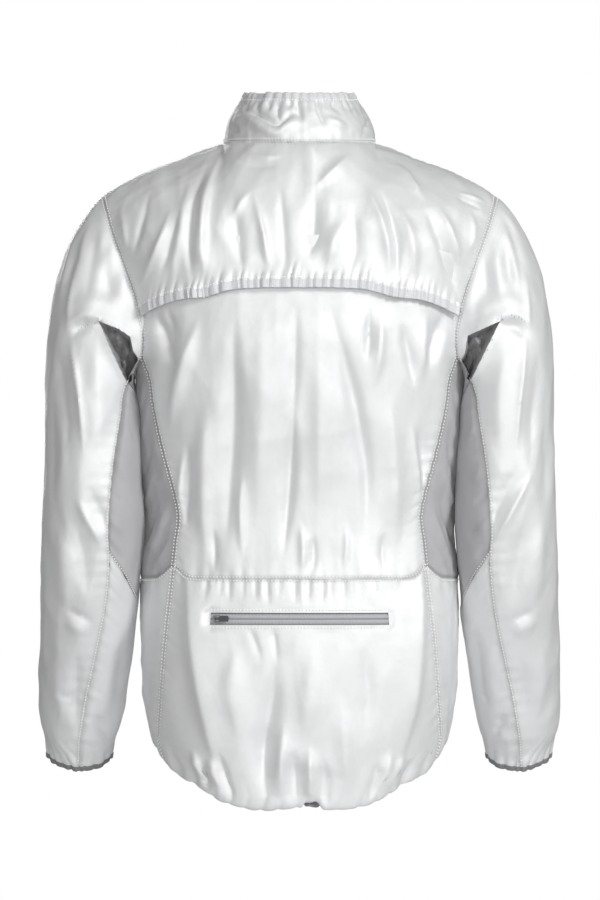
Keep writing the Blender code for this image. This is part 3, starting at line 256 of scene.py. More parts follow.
def ridge(x, front):
    """Height and depth of the upper edge above x: the neck seam, then the shoulder seam."""
    x = np.abs(x)
    turn = np.arcsin(np.clip(x / NECK_HALF_WIDTH, 0, 1))
    turn = np.where(front, math.pi - turn, turn)
    neck = neck_ring(turn)
    on_shoulder = x >= NECK_HALF_WIDTH
    shoulder_y = NECK_CENTRE_Y * (1 - smoothstep(NECK_HALF_WIDTH, 222 * MM, x))
    return np.where(on_shoulder, ridge_z(x), neck[..., 2]), np.where(on_shoulder, shoulder_y, neck[..., 1])


def skin(x, z, front):
    """The point of the body's skin seen at (x, z) from behind, or from the front."""
    x, z, front = np.broadcast_arrays(np.asarray(x, float), np.asarray(z, float), front)
    across = np.clip(np.abs(x) / half_width(z), 0, 1) ** ROUNDNESS
    side = side_line(z)
    middle = np.where(front, -front_depth(z), back_depth(z))
    depth = side + (middle - side) * (1 - across) ** (1 / ROUNDNESS)
    top_z, top_y = ridge(x, front)
    climb = np.clip((z - top_z) / SHOULDER_DROP + 1, 0, 1)
    y = top_y + (depth - top_y) * (1 - climb ** SHOULDER_ROLL) ** (1 / SHOULDER_ROLL)
    return np.stack([x, y, z], axis=-1)


def girth(turn, z):
    """The point of the skin at an angle round the body: 0 behind, pi/2 at the left side, pi in front."""
    turn, z = np.broadcast_arrays(np.asarray(turn, float), np.asarray(z, float))
    x = np.sign(np.sin(turn)) * half_width(z) * np.abs(np.sin(turn)) ** (2 / ROUNDNESS)
    return skin(x, z, np.cos(turn) < 0)


def turn_of(x, z):
    """The back angle at which the skin stands x to the side."""
    return np.arcsin(np.clip(x / half_width(z), 0, 1) ** (ROUNDNESS / 2))


def waist_z(x):
    """Height of the waist seam."""
    pucker = np.exp(-(((np.abs(x) - WAIST_PUCKER_X) / WAIST_PUCKER_REACH) ** 2))
    return WAIST_Z + (SEAM_WAIST_Z - WAIST_Z) * pucker


def underarm(share):
    """The armhole under the arm, from the back seam (0) to the front seam (1)."""
    z = ARM_SEAM_Z + (UNDERARM_Z - ARM_SEAM_Z) * np.sin(math.pi * share) ** 1.2
    start = turn_of(armhole_back_x(ARM_SEAM_Z), ARM_SEAM_Z)
    return girth(start + (math.pi - 2 * start) * share, z)


def flap_sink(x, z, share):
    """How far the back panel lies below the skin: under the flap, and just below its hem."""
    above = z - flap_hem_z(np.abs(x))
    covered = HIDDEN_SINK + (FLAP_STAND - HIDDEN_SINK) * (1 - smoothstep(0, FLAP_COVER, above))
    shown = FLAP_STAND * (1 - smoothstep(12 * MM, 75 * MM, -above))
    middle = np.where(above > 0, covered, shown)
    at_armhole = FLAP_STAND * (1 - smoothstep(10 * MM, 34 * MM, -above))
    nearness = smoothstep(0.86, 1.0, share)
    return middle * (1 - nearness) + at_armhole * nearness


def hem_profile(turn):
    """Rows round the hem's fold: from the edge sewn to the elastic, under the fold, to the outside."""
    degrees = np.degrees(np.arccos(np.clip(np.cos(turn), -1, 1)))
    tuck = 1 - 0.9 * np.exp(-(((degrees - 90) / SIDE_HEM_DEGREES) ** 2))
    edge = HEM_TUCK_RISE * tuck, HEM_TUCK_INSET * tuck
    fold = HEM_SIDE_RISE * (1 - tuck), HEM_FOLD_INSET * tuck
    upper = np.full_like(tuck, HEM_ROLL_HEIGHT), np.zeros_like(tuck)
    marks = []
    for rise, inset in (edge, fold, upper):
        points = girth(turn, hem_z(degrees) + rise)
        outward = unit(points[..., :2] - np.array(HEM_MIDDLE))
        points[..., :2] -= outward * inset[..., None]
        marks.append(points)
    edge, fold, upper = marks
    pull = 2 * fold - (edge + upper) / 2
    t = np.linspace(0, 1, HEM_ROWS)[:, None, None]
    return (1 - t) ** 2 * edge + 2 * t * (1 - t) * pull + t * t * upper


def hem_notch(x):
    """1 where the hem's fold is caught up behind and the elastic shows below it."""
    return smoothstep(*NOTCH_START, x) * (1 - smoothstep(*NOTCH_END, x))


def hem_turn(x):
    """The angle at the hem of a column that stands x to the side."""
    return np.sign(x) * turn_of(np.abs(x), LOWER_Z)


def collar_point(turn, climb):
    """The stand collar at an angle round the neck and a share of its height."""
    base = neck_ring(turn)
    forward = (1 - np.cos(turn)) / 2
    height = COLLAR_BACK_HEIGHT + (COLLAR_FRONT_HEIGHT - COLLAR_BACK_HEIGHT) * forward
    bow = np.sin(math.pi * climb) * COLLAR_BOW
    shrink = (COLLAR_LEAN + COLLAR_SIDE_LEAN * np.sin(turn) ** 2) * climb ** 1.3 - bow
    out = np.stack([np.sin(turn), np.cos(turn)], axis=-1)
    point = base.copy()
    point[..., :2] -= out * shrink[..., None]
    point[..., 2] += height * climb - COLLAR_SIDE_DROP * climb * np.abs(np.sin(turn)) ** 3
    return point


def collar_end():
    """The front edge's angle on the neck ring."""
    return math.pi - math.asin(ZIP_HALF_GAP / NECK_HALF_WIDTH)


def tube(around, z):
    """The left sleeve below its cap, at an angle round it: 0 outer edge, pi/2 back, pi beside the body."""
    around, z = np.broadcast_arrays(np.asarray(around, float), np.asarray(z, float))
    centre_x = (sleeve_inner(z) + sleeve_outer(z)) / 2
    half = (sleeve_outer(z) - sleeve_inner(z)) / 2
    tilt = np.radians(sleeve_tilt(z))
    deep = sleeve_depth(z) * np.sin(around)
    return np.stack([
        centre_x + half * np.cos(around),
        sleeve_y(z) + deep * np.cos(tilt),
        z - deep * np.sin(tilt),
    ], axis=-1)


def cap(start, around, share):
    """The sleeve cap: a smooth run from the armhole seam (share 0) to the top of the tube (share 1)."""
    end = tube(around, CAP_END_Z)
    reach = np.linalg.norm(end - start, axis=-1, keepdims=True)
    inside = np.maximum(0, -np.cos(around)) ** 2
    outward = CAP_OUTWARD + (UNDERARM_OUTWARD - CAP_OUTWARD) * inside
    leave = unit(np.stack([outward, CAP_SPREAD * np.sin(around), np.full_like(around, -CAP_DROP)], axis=-1))
    arrive = np.array([0.0, 0.0, -1.0])
    t = np.asarray(share)[:, None, None]
    return ((1 + 2 * t) * (1 - t) ** 2 * start + t * t * (3 - 2 * t) * end
            + reach * t * (1 - t) * ((1 - t) * leave - t * arrive))


def seam_angle(z):
    """The angle of the sleeve's back seam; the front seam mirrors it."""
    return np.arccos(sleeve_seam(z))


def under_angles(z, share):
    start = seam_angle(z)
    return start + (2 * math.pi - 2 * start) * share


def tip_line(share):
    return INSERT_END_Z + (INSERT_TIP_Z - INSERT_END_Z) * (1 - np.abs(2 * share - 1))


def even_along(points, share):
    """The points of a polyline at even shares of its length."""
    steps = np.linalg.norm(np.diff(points, axis=0), axis=1)
    at = np.concatenate([[0], np.cumsum(steps)]) / steps.sum()
    return np.stack([np.interp(share, at, points[:, axis]) for axis in range(3)], axis=-1)


# Cloth pieces -------------------------------------------------------------------------------------

SEAM_PUCKER = 0.6 * MM
SEAM_REACH = 13 * MM  # how far from a seam its puckers fade
SEAMS = {  # each seam: the axis it runs along, its puckers' seed and its groove's depth
    "shoulder": (0, 31, 0.5 * MM),
    "waist": (0, 33, 0.8 * MM),
    "neck": (0, 34, 0.8 * MM),
    "side_waist": (1, 35, 0.5 * MM),
    "underarm": (1, 36, 0.7 * MM),
    "yoke_right": (2, 41, 0.8 * MM),
    "yoke_left": (2, 42, 0.8 * MM),
    "back_right": (2, 43, 0.7 * MM),
    "back_left": (2, 44, 0.7 * MM),
    "lower_right": (2, 45, 0.5 * MM),
    "lower_left": (2, 46, 0.5 * MM),
    "front_side": (2, 47, 0.7 * MM),
    "front_edge": (2, 47, 0.5 * MM),
    "lower_front": (2, 48, 0.5 * MM),
    "sleeve_back": (2, 51, 0.7 * MM),
    "sleeve_front": (2, 52, 0.7 * MM),
    "insert_tip": (2, 54, 0.7 * MM),
}


def grid_normals(points):
    return unit(np.cross(np.gradient(points, axis=1), np.gradient(points, axis=0)))


class Cloth:
    """One cut piece as a grid of points: rows run up the piece, columns run across it."""

    def __init__(self, name, points, centre=(0.0, 0.0)):
        self.name = name
        self.base = points
        self.hole = np.zeros((points.shape[0] - 1, points.shape[1] - 1), bool)
        self.hollow_faces = self.hole.copy()
        normals = grid_normals(points)
        away = points[..., :2] - np.array(centre)
        self.sign = 1 if np.sum(normals[..., :2] * away) > 0 else -1
        self.normals = normals * self.sign
        self.shift = np.zeros(points.shape)
        # The painted shade of each point, from 0 to 1; the finishes darken their colour by it.
        self.shaded = np.zeros(points.shape[:2])
        across = np.linalg.norm(np.diff(points, axis=1), axis=2)
        upward = np.linalg.norm(np.diff(points, axis=0), axis=2)
        self.across = np.pad(np.cumsum(across, axis=1), ((0, 0), (1, 0)))
        self.upward = np.pad(np.cumsum(upward, axis=0), ((1, 0), (0, 0)))

    def from_edge(self, edge):
        """Distance of every point from one edge, along the cloth."""
        return {
            "bottom": self.upward,
            "top": self.upward[-1:] - self.upward,
            "first": self.across,
            "last": self.across[:, -1:] - self.across,
        }[edge]

    def raise_by(self, height):
        """Moves the points outward by a height of their own."""
        self.shift = self.shift + self.normals * np.asarray(height)[..., None]

    def calm(self, reach, *edges):
        """A factor that falls to 0 at the named edges."""
        factor = 1.0
        for edge in edges:
            factor = factor * smoothstep(0, reach, self.from_edge(edge))
        return factor

    def sew(self, **seams):
        """Sews the named edges: a shallow groove, and small puckers that match those of the neighbour."""
        for edge, seam in seams.items():
            axis, seed, depth = SEAMS[seam]
            away = self.from_edge(edge)
            line = {"bottom": self.base[:1], "top": self.base[-1:], "first": self.base[:, :1],
                    "last": self.base[:, -1:]}[edge]
            along = np.broadcast_to(line[..., axis], away.shape)
            waves = uneven_waves(along, 11 * MM, seed) * SEAM_PUCKER * np.exp(-away / SEAM_REACH)
            self.raise_by(waves - depth * np.exp(-((away / (1.6 * MM)) ** 2)))
            # Painted shade in the seam's groove and beside its stitching.
            self.shade_seam(away)

    def shade_seam(self, away):
        """The dark line of a seam and the shadow of the stitching beside it."""
        self.shade_line(away, 0.8 * MM, 0.4)
        self.shade_line(away - 1.8 * MM, 2.0 * MM, 0.36)

    def shade_line(self, away, width, strength=1.0):
        """Marks where the finish is darker: close to a line at a distance of 0."""
        self.shaded = np.maximum(self.shaded, strength * np.exp(-((away / width) ** 2)))

    def gather(self, edge, pitch, seed, height, reach, fall=2.0, level=0.5, factor=1.0, along=None):
        """Gathers at one edge that fade over a reach. The level is the share of their height that dips."""
        row = gather_row(self.across if along is None else along, pitch, seed) - level
        self.raise_by(row * height * np.exp(-((self.from_edge(edge) / reach) ** fall)) * factor)

    def swell(self, height, rise, fall, factor):
        """Lifts the cloth between two slopes, each given by its lower and its upper z."""
        z = self.base[..., 2]
        self.raise_by(height * smoothstep(*rise, z) * (1 - smoothstep(*fall, z)) * factor)

    def wrinkle(self, size, height, seed, factor, stretch=(1.0, 1.0, 0.35)):
        self.raise_by(crumple(self.base, size, seed, stretch) * height * factor)

    def surface(self):
        return self.base + self.shift

    def path(self, edge, inset, start=0.0, end=1.0):
        """Points and normals of a line that keeps its distance from one edge of the finished cloth."""
        points = self.surface()
        normals = grid_normals(points) * self.sign
        away = self.from_edge(edge)
        if edge in ("bottom", "top"):
            points, normals, away = (np.swapaxes(each, 0, 1) for each in (points, normals, away))
        if edge in ("top", "last"):
            points, normals, away = points[:, ::-1], normals[:, ::-1], away[:, ::-1]
        keep = slice(int(start * (len(away) - 1)), int(end * (len(away) - 1)) + 1)
        line, outward = [], []
        for row, normal, distance in zip(points[keep], normals[keep], away[keep]):
            line.append([np.interp(inset, distance, row[:, axis]) for axis in range(3)])
            outward.append([np.interp(inset, distance, normal[:, axis]) for axis in range(3)])
        return np.array(line), unit(np.array(outward))

    def flat_size(self, fullness=1.0):
        """Width, length and area of the cloth as cut."""
        points = self.base
        corner = np.cross(points[1:, :-1] - points[:-1, :-1], points[:-1, 1:] - points[:-1, :-1])
        area = np.linalg.norm(corner, axis=2)[~self.hole].sum()
        return (self.across[:, -1].max() * fullness, self.upward[-1].max()), area * fullness * 0.99

    def mirrored(self, name):
        other = Cloth.__new__(Cloth)
        flip = np.array([-1.0, 1.0, 1.0])
        other.name, other.hole, other.hollow_faces, other.sign = name, self.hole, self.hollow_faces, -self.sign
        other.shaded = self.shaded
        other.base, other.normals, other.shift = self.base * flip, self.normals * flip, self.shift * flip
        other.across, other.upward = self.across, self.upward
        return other


def uneven_waves(along, length, seed):
    """Smooth waves from -1 to 1 whose lengths vary about one value."""
    random = np.random.default_rng(seed)
    total = 0.0
    for _ in range(4):
        wavelength = length * random.uniform(0.7, 1.7)
        total = total + np.sin(2 * math.pi * along / wavelength + random.uniform(0, 6.3))
    return total / 2.6


def gather_row(along, pitch, seed, sharp=1.6):
    """Rounded gathers between narrow valleys, from 0 to 1, uneven in width and height."""
    drift = uneven_waves(along, pitch * 5, seed) * 0.7
    wave = np.abs(np.cos(math.pi * along / pitch + drift * math.pi / 2))
    strength = 0.62 + 0.38 * uneven_waves(along, pitch * 2.6, seed + 1)
    return (1 - (1 - wave) ** sharp) * strength


def crumple(points, size, seed, stretch):
    """Shallow wrinkles of crisp cloth, from about -1 to 1: narrow ridges between soft valleys, longer
    down the piece than across it."""
    random = np.random.default_rng(seed)
    total = 0.0
    for _ in range(12):
        direction = unit(random.normal(size=3)) * np.array(stretch)
        phase = points @ direction * math.pi / size
        across = points @ unit(random.normal(size=3))
        bend = np.sin(across * 2 * math.pi / (size * 3.1) + random.uniform(0, 6.3))
        fold = np.abs(np.sin(phase * random.uniform(0.7, 1.9) + 1.3 * bend + random.uniform(0, 3.1)))
        total = total + 0.64 - fold
    return total / 1.6


# Fold chart: each fold runs through places on the back as seen from behind. A place is (across, down)
# in chart units, from a corner above the wearer's left shoulder.
CHART_UNIT = 1.12 * MM
CHART_MIDDLE = 299.5
CHART_SHOULDER = 142
FOLD_STEP = 1.5 * MM  # from point to point of a fold's line
FOLD_REACH = 3.2  # how far a fold moves the cloth, in widths
FOLD_STRENGTH = 1.7  # how much the folds that show behind are deepened


def chart(places):
    """x and z of places on the fold chart."""
    places = np.asarray(places, float)
    return (CHART_MIDDLE - places[:, 0]) * CHART_UNIT, (CHART_SHOULDER - places[:, 1]) * CHART_UNIT


def fold_line(cloth, places, side):
    """The fold's line on the cloth, seen from behind (side 1) or from the front (-1), if it shows there."""
    x, z = chart(places)
    steps = np.concatenate([[0], np.cumsum(np.hypot(np.diff(x), np.diff(z)))])
    at = np.linspace(0, steps[-1], max(6, int(steps[-1] / FOLD_STEP)))
    x, z = spline(steps, x)(at), spline(steps, z)(at)
    shown = cloth.normals[..., 1] * side > 0.02
    if not shown.any():
        return None
    cloud = cloth.base[shown]
    gap = (cloud[:, 0][None] - x[:, None]) ** 2 + (cloud[:, 2][None] - z[:, None]) ** 2
    nearest = np.argmin(gap, axis=1)
    return np.stack([x, smoothed(cloud[nearest, 1], np.ones(7)), z], axis=-1)


def mirrored_folds(folds):
    return [(width, height, crease, [(2 * CHART_MIDDLE - across, down) for across, down in places], *skew)
            for width, height, crease, places, *skew in folds]


def both_sides(folds):
    """The folds as given, and the same mirrored about the middle of the back."""
    return folds + mirrored_folds(folds)


def press(cloth, folds, side=1, strength=1.0, factor=1.0, pull=None):
    """Presses a list of folds into the cloth: straight out, or in the direction of a pull."""
    for width, height, crease, places, *skew in folds:
        line = fold_line(cloth, places, side)
        if line is None:
            continue
        reach = FOLD_REACH * width * MM
        low, high = line.min(axis=0) - reach, line.max(axis=0) + reach
        near = np.all((cloth.base > low) & (cloth.base < high), axis=2)
        if not near.any():
            continue
        points = cloth.base[near]
        gaps = points[:, None] - line[None]
        distance = np.linalg.norm(gaps, axis=2)
        nearest = np.argmin(distance, axis=1)
        picked = np.arange(len(points))
        tangent = unit(np.gradient(line, axis=0))[nearest]
        offset = gaps[picked, nearest]
        sideways = np.sign(np.einsum("ij,ij->i", np.cross(tangent, cloth.normals[near]), offset))
        wide = width * MM * (1 + sum(skew) * sideways)
        share = nearest / (len(line) - 1)
        ends = smoothstep(0, 0.42, share) * (1 - smoothstep(0.58, 1, share))
        wide = wide * (0.5 + 0.5 * ends)
        amount = height * MM * strength * ends * np.exp(-((distance[picked, nearest] / wide) ** crease))
        if np.ndim(factor):
            amount = amount * factor[near]
        direction = unit(np.array(pull)) if pull else cloth.normals[near]
        cloth.shift[near] += direction * amount[:, None]


def beside(mask):
    """Grid points that are marked or have a marked neighbour."""
    wide = np.pad(mask, 1)
    rows, cols = mask.shape
    return np.logical_or.reduce([wide[i:i + rows, j:j + cols] for i in range(3) for j in range(3)])


def sink_hollow(cloth, outline, depth, soft=4 * MM, snap=5 * MM):
    """Sinks the back of the cloth inside an outline on the chart, and marks what lies in the hollow.
    The points just outside move onto the outline, so that its edge is clean."""
    x, z = chart(outline)
    px, _, pz = np.moveaxis(cloth.surface(), -1, 0)
    inside = np.zeros(px.shape, bool)
    nearest = np.full(px.shape, 1.0)
    to_edge = np.zeros((*px.shape, 2))
    for x0, z0, x1, z1 in zip(x, z, np.roll(x, -1), np.roll(z, -1)):
        crosses = (z0 > pz) != (z1 > pz)
        inside ^= crosses & (px < (x1 - x0) * (pz - z0) / (z1 - z0 + 1e-12) + x0)
        t = np.clip(((px - x0) * (x1 - x0) + (pz - z0) * (z1 - z0)) / ((x1 - x0) ** 2 + (z1 - z0) ** 2), 0, 1)
        way = np.stack([x0 + t * (x1 - x0) - px, z0 + t * (z1 - z0) - pz], axis=-1)
        length = np.linalg.norm(way, axis=-1)
        to_edge = np.where((length < nearest)[..., None], way, to_edge)
        nearest = np.minimum(nearest, length)
    inside &= cloth.normals[..., 1] > 0.15
    edge = beside(inside) & ~inside & (nearest < snap)
    cloth.shift[..., 0] += np.where(edge, to_edge[..., 0], 0)
    cloth.shift[..., 2] += np.where(edge, to_edge[..., 1], 0)
    uneven = depth * (1 + 0.35 * crumple(cloth.base, 17 * MM, 7, (1.0, 1.0, 0.8)))
    cloth.shift[..., 1] -= np.where(inside, 7 * MM + smoothstep(0, soft, nearest) * (uneven - 7 * MM), 0)
    # Painted shade in the hollow, darker further below its top.
    darker = 0.95 * smoothstep(12 * MM, 70 * MM, z.max() - pz)
    cloth.shaded = np.where(inside, darker, cloth.shaded)
    # The faces in the hollow take the grey stretch finish: the insert's own colour where it shows, and a
    # stand-in for shade on the sleeve cloth beside it.
    corners = [inside[rows, cols] for rows in (slice(None, -1), slice(1, None))
               for cols in (slice(None, -1), slice(1, None))]
    cloth.hollow_faces = np.logical_or.reduce(corners)


# Folds --------------------------------------------------------------------------------------------
# A fold is (width, height, crease, places, skew): width and height in mm, a crease from 1, sharp, to 2,
# soft, the places on the chart that it runs through, and, where it is wider on one side, by how much.

YOKE_FOLDS = [
    (9, 4.5, 1.4, [(222, 150), (210, 187), (203, 233), (206, 286)], 0.5),
    (7, -3.6, 1.7, [(209, 160), (197, 195), (190, 240), (193, 286)]),
    (4, 2.4, 1.3, [(173, 205), (163, 237), (150, 268), (136, 296)]),
    (6, -2.4, 1.7, [(183, 203), (173, 240), (160, 278)]),
    (7, 2.2, 1.8, [(193, 170), (184, 215), (176, 250), (172, 290)]),
    (5, -2.0, 1.7, [(150, 190), (142, 225), (132, 262)]),
    (5, 2.0, 1.4, [(252, 190), (240, 206), (231, 226)]),
    (5, 2.2, 1.4, [(252, 190), (262, 230), (268, 277)]),
    (7, -2.6, 1.7, [(234, 200), (238, 240), (244, 280)]),
    (3, 1.3, 1.3, [(258, 210), (266, 245), (272, 279)]),
    (6, -2.0, 1.7, [(280, 185), (284, 235), (286, 278)]),
    (9, 1.8, 1.8, [(306, 110), (311, 165), (313, 215)]),
    (9, -4.0, 1.6, [(315, 186), (314, 227), (309, 268)]),
    (6, 2.8, 1.4, [(352, 153), (333, 172), (313, 192)]),
    (9, 2.8, 1.7, [(342, 218), (333, 245), (326, 275)]),
    (7, -2.4, 1.7, [(352, 205), (355, 245), (350, 280)]),
    (6, 3.2, 1.4, [(362, 183), (376, 210), (385, 237), (390, 285)], 0.2),
    (4, -3.4, 1.4, [(378, 190), (391, 218), (397, 247), (396, 288)]),
    (7, 2.6, 1.7, [(398, 205), (410, 240), (415, 285)]),
    (6, 2.8, 1.5, [(395, 160), (410, 180), (424, 203)]),
    (8, -5.0, 1.5, [(423, 208), (440, 240), (451, 272), (457, 304)], -0.2),
    (5, 2.6, 1.4, [(437, 205), (453, 240), (463, 275)]),
    (4, 1.6, 1.4, [(470, 208), (474, 230), (470, 255)]),
    (4, 1.6, 1.4, [(120, 205), (125, 230), (126, 258)]),
    (3, 1.3, 1.3, [(455, 192), (470, 196), (488, 204)]),
    (3, -1.2, 1.3, [(452, 197), (466, 202), (482, 211)]),
    (4, 1.2, 1.4, [(245, 152), (262, 158), (285, 157)]),
    (4, -1.2, 1.4, [(232, 160), (255, 167), (280, 168)]),
]
BACK_FOLDS = [
    (8, -5.5, 1.5, [(152, 308), (160, 330), (178, 370)]),
    (6, -3.5, 1.5, [(165, 308), (172, 335), (173, 356)]),
    (9, 4.0, 1.7, [(199, 315), (181, 377), (168, 436)]),
    (10, -3.6, 1.8, [(235, 305), (233, 423), (226, 556)]),
    (12, 3.4, 1.9, [(206, 400), (204, 470), (206, 560)]),
    (14, 2.4, 1.9, [(262, 300), (262, 400), (256, 540)]),
    (7, -2.6, 1.7, [(297, 298), (295, 360), (293, 425)]),
    (7, -4.2, 1.6, [(294, 400), (290, 480), (283, 562)]),
    (14, 2.6, 1.9, [(316, 330), (322, 430), (322, 540)]),
    (10, -4.6, 1.7, [(327, 297), (343, 357), (360, 430), (367, 497), (362, 550)]),
    (5, -3.0, 1.4, [(369, 306), (369, 335), (366, 368)]),
    (6, 2.6, 1.5, [(381, 310), (380, 345), (374, 390)]),
    (12, 3.6, 1.8, [(388, 390), (393, 460), (394, 560)]),
    (6, -3.6, 1.5, [(402, 318), (410, 360), (414, 392)]),
    (4, 2.6, 1.2, [(410, 420), (416, 460), (420, 506)]),
    (6, -3.4, 1.5, [(416, 420), (423, 455), (425, 500)]),
    (4, 2.2, 1.2, [(185, 448), (181, 480), (178, 515)]),
    (7, -3.6, 1.6, [(190, 440), (188, 480), (187, 535)]),
    (8, -5.0, 1.5, [(447, 308), (438, 338), (424, 372)]),
    (7, 2.8, 1.6, [(428, 312), (424, 345), (420, 385)]),
    (5, 2.0, 1.5, [(243, 470), (241, 510), (243, 560)]),
    (5, 2.2, 1.4, [(300, 520), (303, 550), (302, 576)]),
    (5, -2.2, 1.4, [(312, 530), (314, 555), (313, 575)]),
    (4, 1.6, 1.4, [(345, 520), (346, 550), (343, 574)]),
    (4, -1.8, 1.4, [(213, 525), (215, 550), (215, 574)]),
    (4, -1.8, 1.4, [(384, 528), (382, 552), (384, 574)]),
]
WAIST_GATHERS = [(2.8, -3.4, 1.4, [(269, 559), (268, 592), (270, 608)])] + [
    (2.4, height, 1.5, [(first, 560), (second, bend), (third, end)])
    for height, first, second, third, bend, end in (
        (-2.2, 208, 207, 206, 592, 604),
        (-1.8, 222, 221, 220, 590, 602),
        (-2.2, 230, 230, 231, 592, 606),
        (-1.8, 245, 244, 244, 590, 601),
        (-2.0, 256, 256, 258, 592, 605),
        (-1.8, 278, 279, 279, 590, 603),
        (-2.4, 294, 295, 296, 592, 607),
        (-2.0, 310, 309, 309, 592, 604),
        (-2.2, 322, 323, 322, 592, 607),
        (-1.8, 330, 331, 332, 590, 602),
        (-2.4, 343, 344, 344, 592, 606),
        (-1.8, 359, 360, 360, 590, 602),
        (-1.8, 374, 375, 374, 590, 602),
        (1.8, 262, 262, 263, 594, 608),
        (1.8, 302, 302, 303, 594, 608),
        (1.8, 351, 352, 352, 594, 606),
    )
]
LOWER_FOLDS = [
    (18, 4.6, 1.5, [(186, 520), (190, 583), (193, 640), (204, 710), (226, 800)], -0.6),
    (18, 4.6, 1.5, [(420, 520), (420, 583), (419, 640), (411, 710), (384, 800)], 0.6),
    (3.5, -1.3, 1.5, [(246, 618), (255, 640), (264, 664)]),
    (3.5, -1.3, 1.5, [(272, 616), (275, 640), (278, 666)]),
    (12, -5.0, 1.8, [(274, 650), (272, 693), (264, 747), (265, 796)]),
    (8, -3.6, 1.6, [(266, 720), (264, 755), (265, 797)]),
    (8, 3.6, 1.6, [(284, 720), (281, 760), (283, 802)]),
    (7, -5.5, 1.4, [(293, 745), (295, 780), (298, 812)]),
    (7, 3.6, 1.5, [(309, 740), (310, 775), (311, 805)]),
    (6, -3.0, 1.5, [(322, 755), (325, 780), (327, 808)]),
    (10, 2.6, 1.8, [(340, 690), (345, 745), (348, 800)]),
    (4, -4.0, 1.2, [(219, 748), (226, 772), (235, 801)], 0.3),
    (7, 3.2, 1.4, [(209, 750), (214, 770), (222, 796)]),
    (5, -3.0, 1.3, [(202, 756), (206, 772), (212, 790)]),
    (5, -3.4, 1.3, [(185, 756), (191, 770), (200, 787)]),
    (5, 2.8, 1.4, [(192, 745), (198, 765), (207, 788)]),
    (4, -2.4, 1.3, [(174, 753), (178, 764), (185, 780)]),
    (4, 2.2, 1.3, [(166, 740), (169, 755), (174, 772)]),
    (4, -3.8, 1.2, [(378, 756), (374, 775), (367, 802)], -0.3),
    (7, 3.2, 1.4, [(391, 745), (386, 768), (379, 796)]),
    (5, -3.4, 1.3, [(413, 758), (406, 772), (397, 790)]),
    (5, 2.8, 1.4, [(404, 748), (398, 768), (390, 788)]),
    (4, -2.4, 1.3, [(428, 752), (424, 764), (418, 780)]),
    (12, 2.2, 1.9, [(236, 640), (234, 690), (240, 740)]),
    (12, 2.0, 1.9, [(312, 640), (310, 690), (305, 740)]),
    (9, -2.0, 1.8, [(362, 640), (368, 690), (365, 740)]),
]
# The fronts, seen from the front: the chart's across runs the same way as it does behind.
FRONT_FOLDS = [
    (10, -4.0, 1.6, [(215, 190), (228, 240), (236, 330)]),
    (8, 4.0, 1.6, [(165, 215), (190, 260), (214, 320)]),
    (7, -3.5, 1.5, [(160, 300), (185, 315), (214, 322)]),
    (10, 3.5, 1.7, [(248, 200), (256, 320), (250, 470)]),
    (11, -3.6, 1.8, [(246, 410), (242, 520), (244, 680)]),
    (10, 3.6, 1.7, [(205, 480), (200, 560), (206, 680)]),
    (7, -3.4, 1.5, [(180, 540), (184, 600), (192, 700)]),
    (6, 2.6, 1.5, [(272, 560), (270, 620), (274, 700)]),
    (5, -2.6, 1.4, [(262, 640), (262, 680), (266, 716)]),
    (5, -2.4, 1.4, [(222, 660), (224, 690), (226, 716)]),
    (10, -4.0, 1.6, [(386, 190), (372, 245), (362, 340)]),
    (8, 4.0, 1.6, [(434, 215), (412, 265), (386, 322)]),
    (7, -3.5, 1.5, [(438, 305), (415, 318), (388, 328)]),
    (10, 3.5, 1.7, [(350, 210), (345, 320), (352, 480)]),
    (11, -3.6, 1.8, [(356, 420), (360, 530), (354, 690)]),
    (10, 3.6, 1.7, [(396, 470), (402, 560), (392, 680)]),
    (7, -3.4, 1.5, [(422, 550), (416, 610), (408, 700)]),
    (6, 2.6, 1.5, [(330, 570), (332, 630), (326, 700)]),
    (5, -2.6, 1.4, [(340, 640), (338, 685), (336, 716)]),
    (5, -2.4, 1.4, [(376, 660), (374, 690), (372, 716)]),
]
SIDE_FOLDS = both_sides([
    (7, 4.5, 1.4, [(170, 500), (160, 534), (146, 566)], 0.4),
    (6, -4.5, 1.5, [(160, 496), (151, 525), (140, 556)]),
    (5, 3.0, 1.4, [(158, 462), (150, 492), (141, 516)]),
    (5, -3.0, 1.5, [(154, 440), (148, 466), (141, 486)]),
    (4, 2.2, 1.4, [(150, 404), (147, 428), (141, 448)]),
    (4, -2.0, 1.4, [(149, 385), (145, 404), (140, 420)]),
    (5, 2.6, 1.4, [(172, 535), (163, 553), (150, 574)]),
])
INSERT_FOLDS = both_sides([
    (5, 3.0, 1.4, [(110, 452), (118, 470), (128, 484)]),
    (5, -3.0, 1.5, [(106, 480), (116, 496), (128, 508)]),
    (5, 3.0, 1.4, [(104, 512), (114, 524), (128, 534)]),
    (5, -3.0, 1.5, [(106, 540), (116, 552), (128, 562)]),
    (4, 2.6, 1.4, [(112, 566), (120, 575), (130, 582)]),
    (5, 2.6, 1.4, [(116, 412), (124, 430), (131, 446)]),
])
